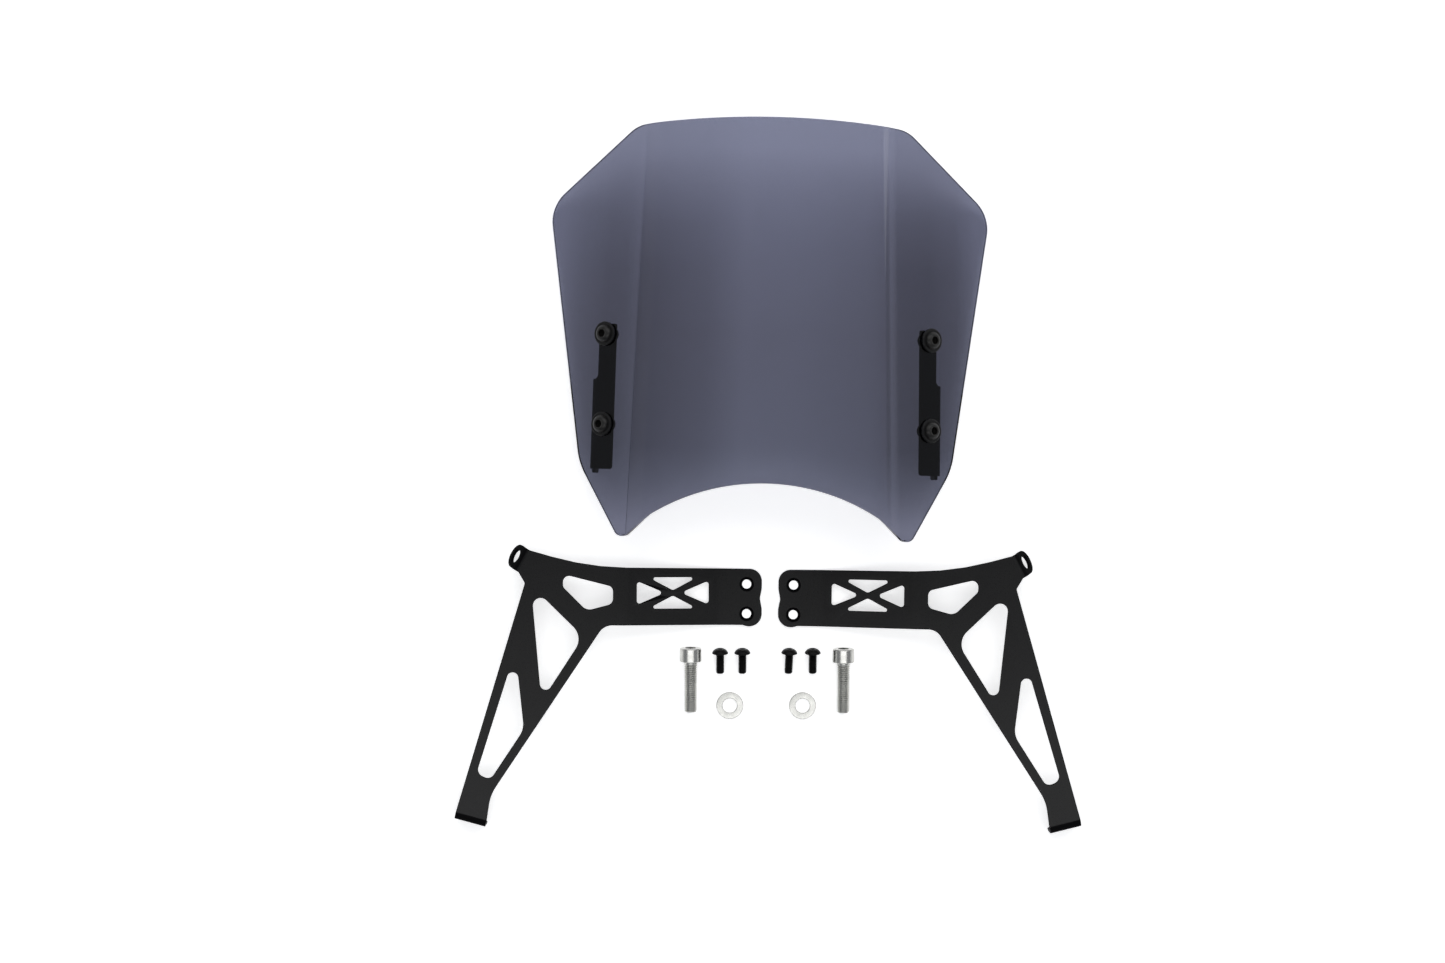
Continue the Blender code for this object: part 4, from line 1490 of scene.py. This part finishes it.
@dataclass(frozen=True)
class SoftBox:
    name: str
    place: tuple[float, float, float]
    size: tuple[float, float]
    watts: float

    def hang(self) -> None:
        """Hangs the soft box."""
        lamp = bpy.data.lights.new(self.name, "AREA")
        lamp.shape = "RECTANGLE"
        lamp.size, lamp.size_y = self.size
        lamp.energy = self.watts
        box = bpy.data.objects.new(self.name, lamp)
        box.location = self.place
        box.rotation_euler = (-Vector(self.place)).to_track_quat("-Z", "Y").to_euler()
        bpy.context.scene.collection.objects.link(box)


SOFT_BOXES = (
    SoftBox("front_box", (0.0, -0.53, 1.7), (2.0, 0.62), 8.5),
    SoftBox("back_box", (0.0, 1.15, 1.35), (2.4, 1.3), 14.0),
    SoftBox("right_back_box", (1.25, 0.95, 1.3), (0.9, 1.4), 4.0),
    SoftBox("left_box", (-1.2, -0.05, 1.05), (1.8, 0.8), 0.5),
    SoftBox("right_box", (1.2, -0.05, 1.05), (1.8, 0.8), 0.5),
)


@dataclass
class Studio:
    floor_size: float = 6.0
    floor_gap: float = 0.1 * MM
    camera_place: tuple[float, float, float] = (-0.0308, -0.0022, 1.4)
    camera_turn: float = math.radians(1.25)
    sensor: float = 36.0
    lens: float = 58.94
    horizon_colour: str = "F2F3F4"
    zenith_colour: str = "7E8084"
    horizon_ends: tuple[float, float] = (0.16, 0.30)

    def floor(self) -> None:
        bpy.ops.object.select_all(action="DESELECT")
        bpy.ops.mesh.primitive_plane_add(size=self.floor_size, location=(0.0, 0.0, -self.floor_gap))
        paper = bpy.context.object
        paper.name = "table_paper"
        paper.data.materials.append(TablePaper().build())

    def light(self) -> None:
        """Sets the soft boxes, the pale horizon and the dim ceiling."""
        for box in SOFT_BOXES:
            box.hang()
        world = bpy.data.worlds.new("studio_air")
        world.use_nodes = True
        tree = world.node_tree
        way = add_node(tree, "ShaderNodeTexCoord").outputs["Generated"]
        rise = add_node(tree, "ShaderNodeSeparateXYZ", links={"Vector": way}).outputs["Z"]
        low, high = self.horizon_ends
        sky = ramp_between(tree, rise, {low: self.horizon_colour, high: self.zenith_colour})
        tree.links.new(sky, tree.nodes["Background"].inputs["Color"])
        bpy.context.scene.world = world

    def camera(self) -> None:
        lens = bpy.data.cameras.new("overhead_camera")
        lens.sensor_width = self.sensor
        lens.lens = self.lens
        eye = bpy.data.objects.new("overhead_camera", lens)
        eye.location = self.camera_place
        eye.rotation_euler = (0.0, 0.0, self.camera_turn)
        bpy.context.scene.collection.objects.link(eye)
        bpy.context.scene.camera = eye

    def build(self) -> None:
        """Sets up the table, the lights and the camera."""
        self.floor()
        self.light()
        self.camera()
        bpy.context.scene.view_settings.view_transform = "Standard"


def main() -> None:
    logging.basicConfig(level=logging.INFO, format="%(name)s: %(message)s")
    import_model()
    finishes = Finishes()
    ScreenAssembly(finishes).build()
    LooseParts(finishes).build()
    Studio().build()


if __name__ == "__main__":
    main()
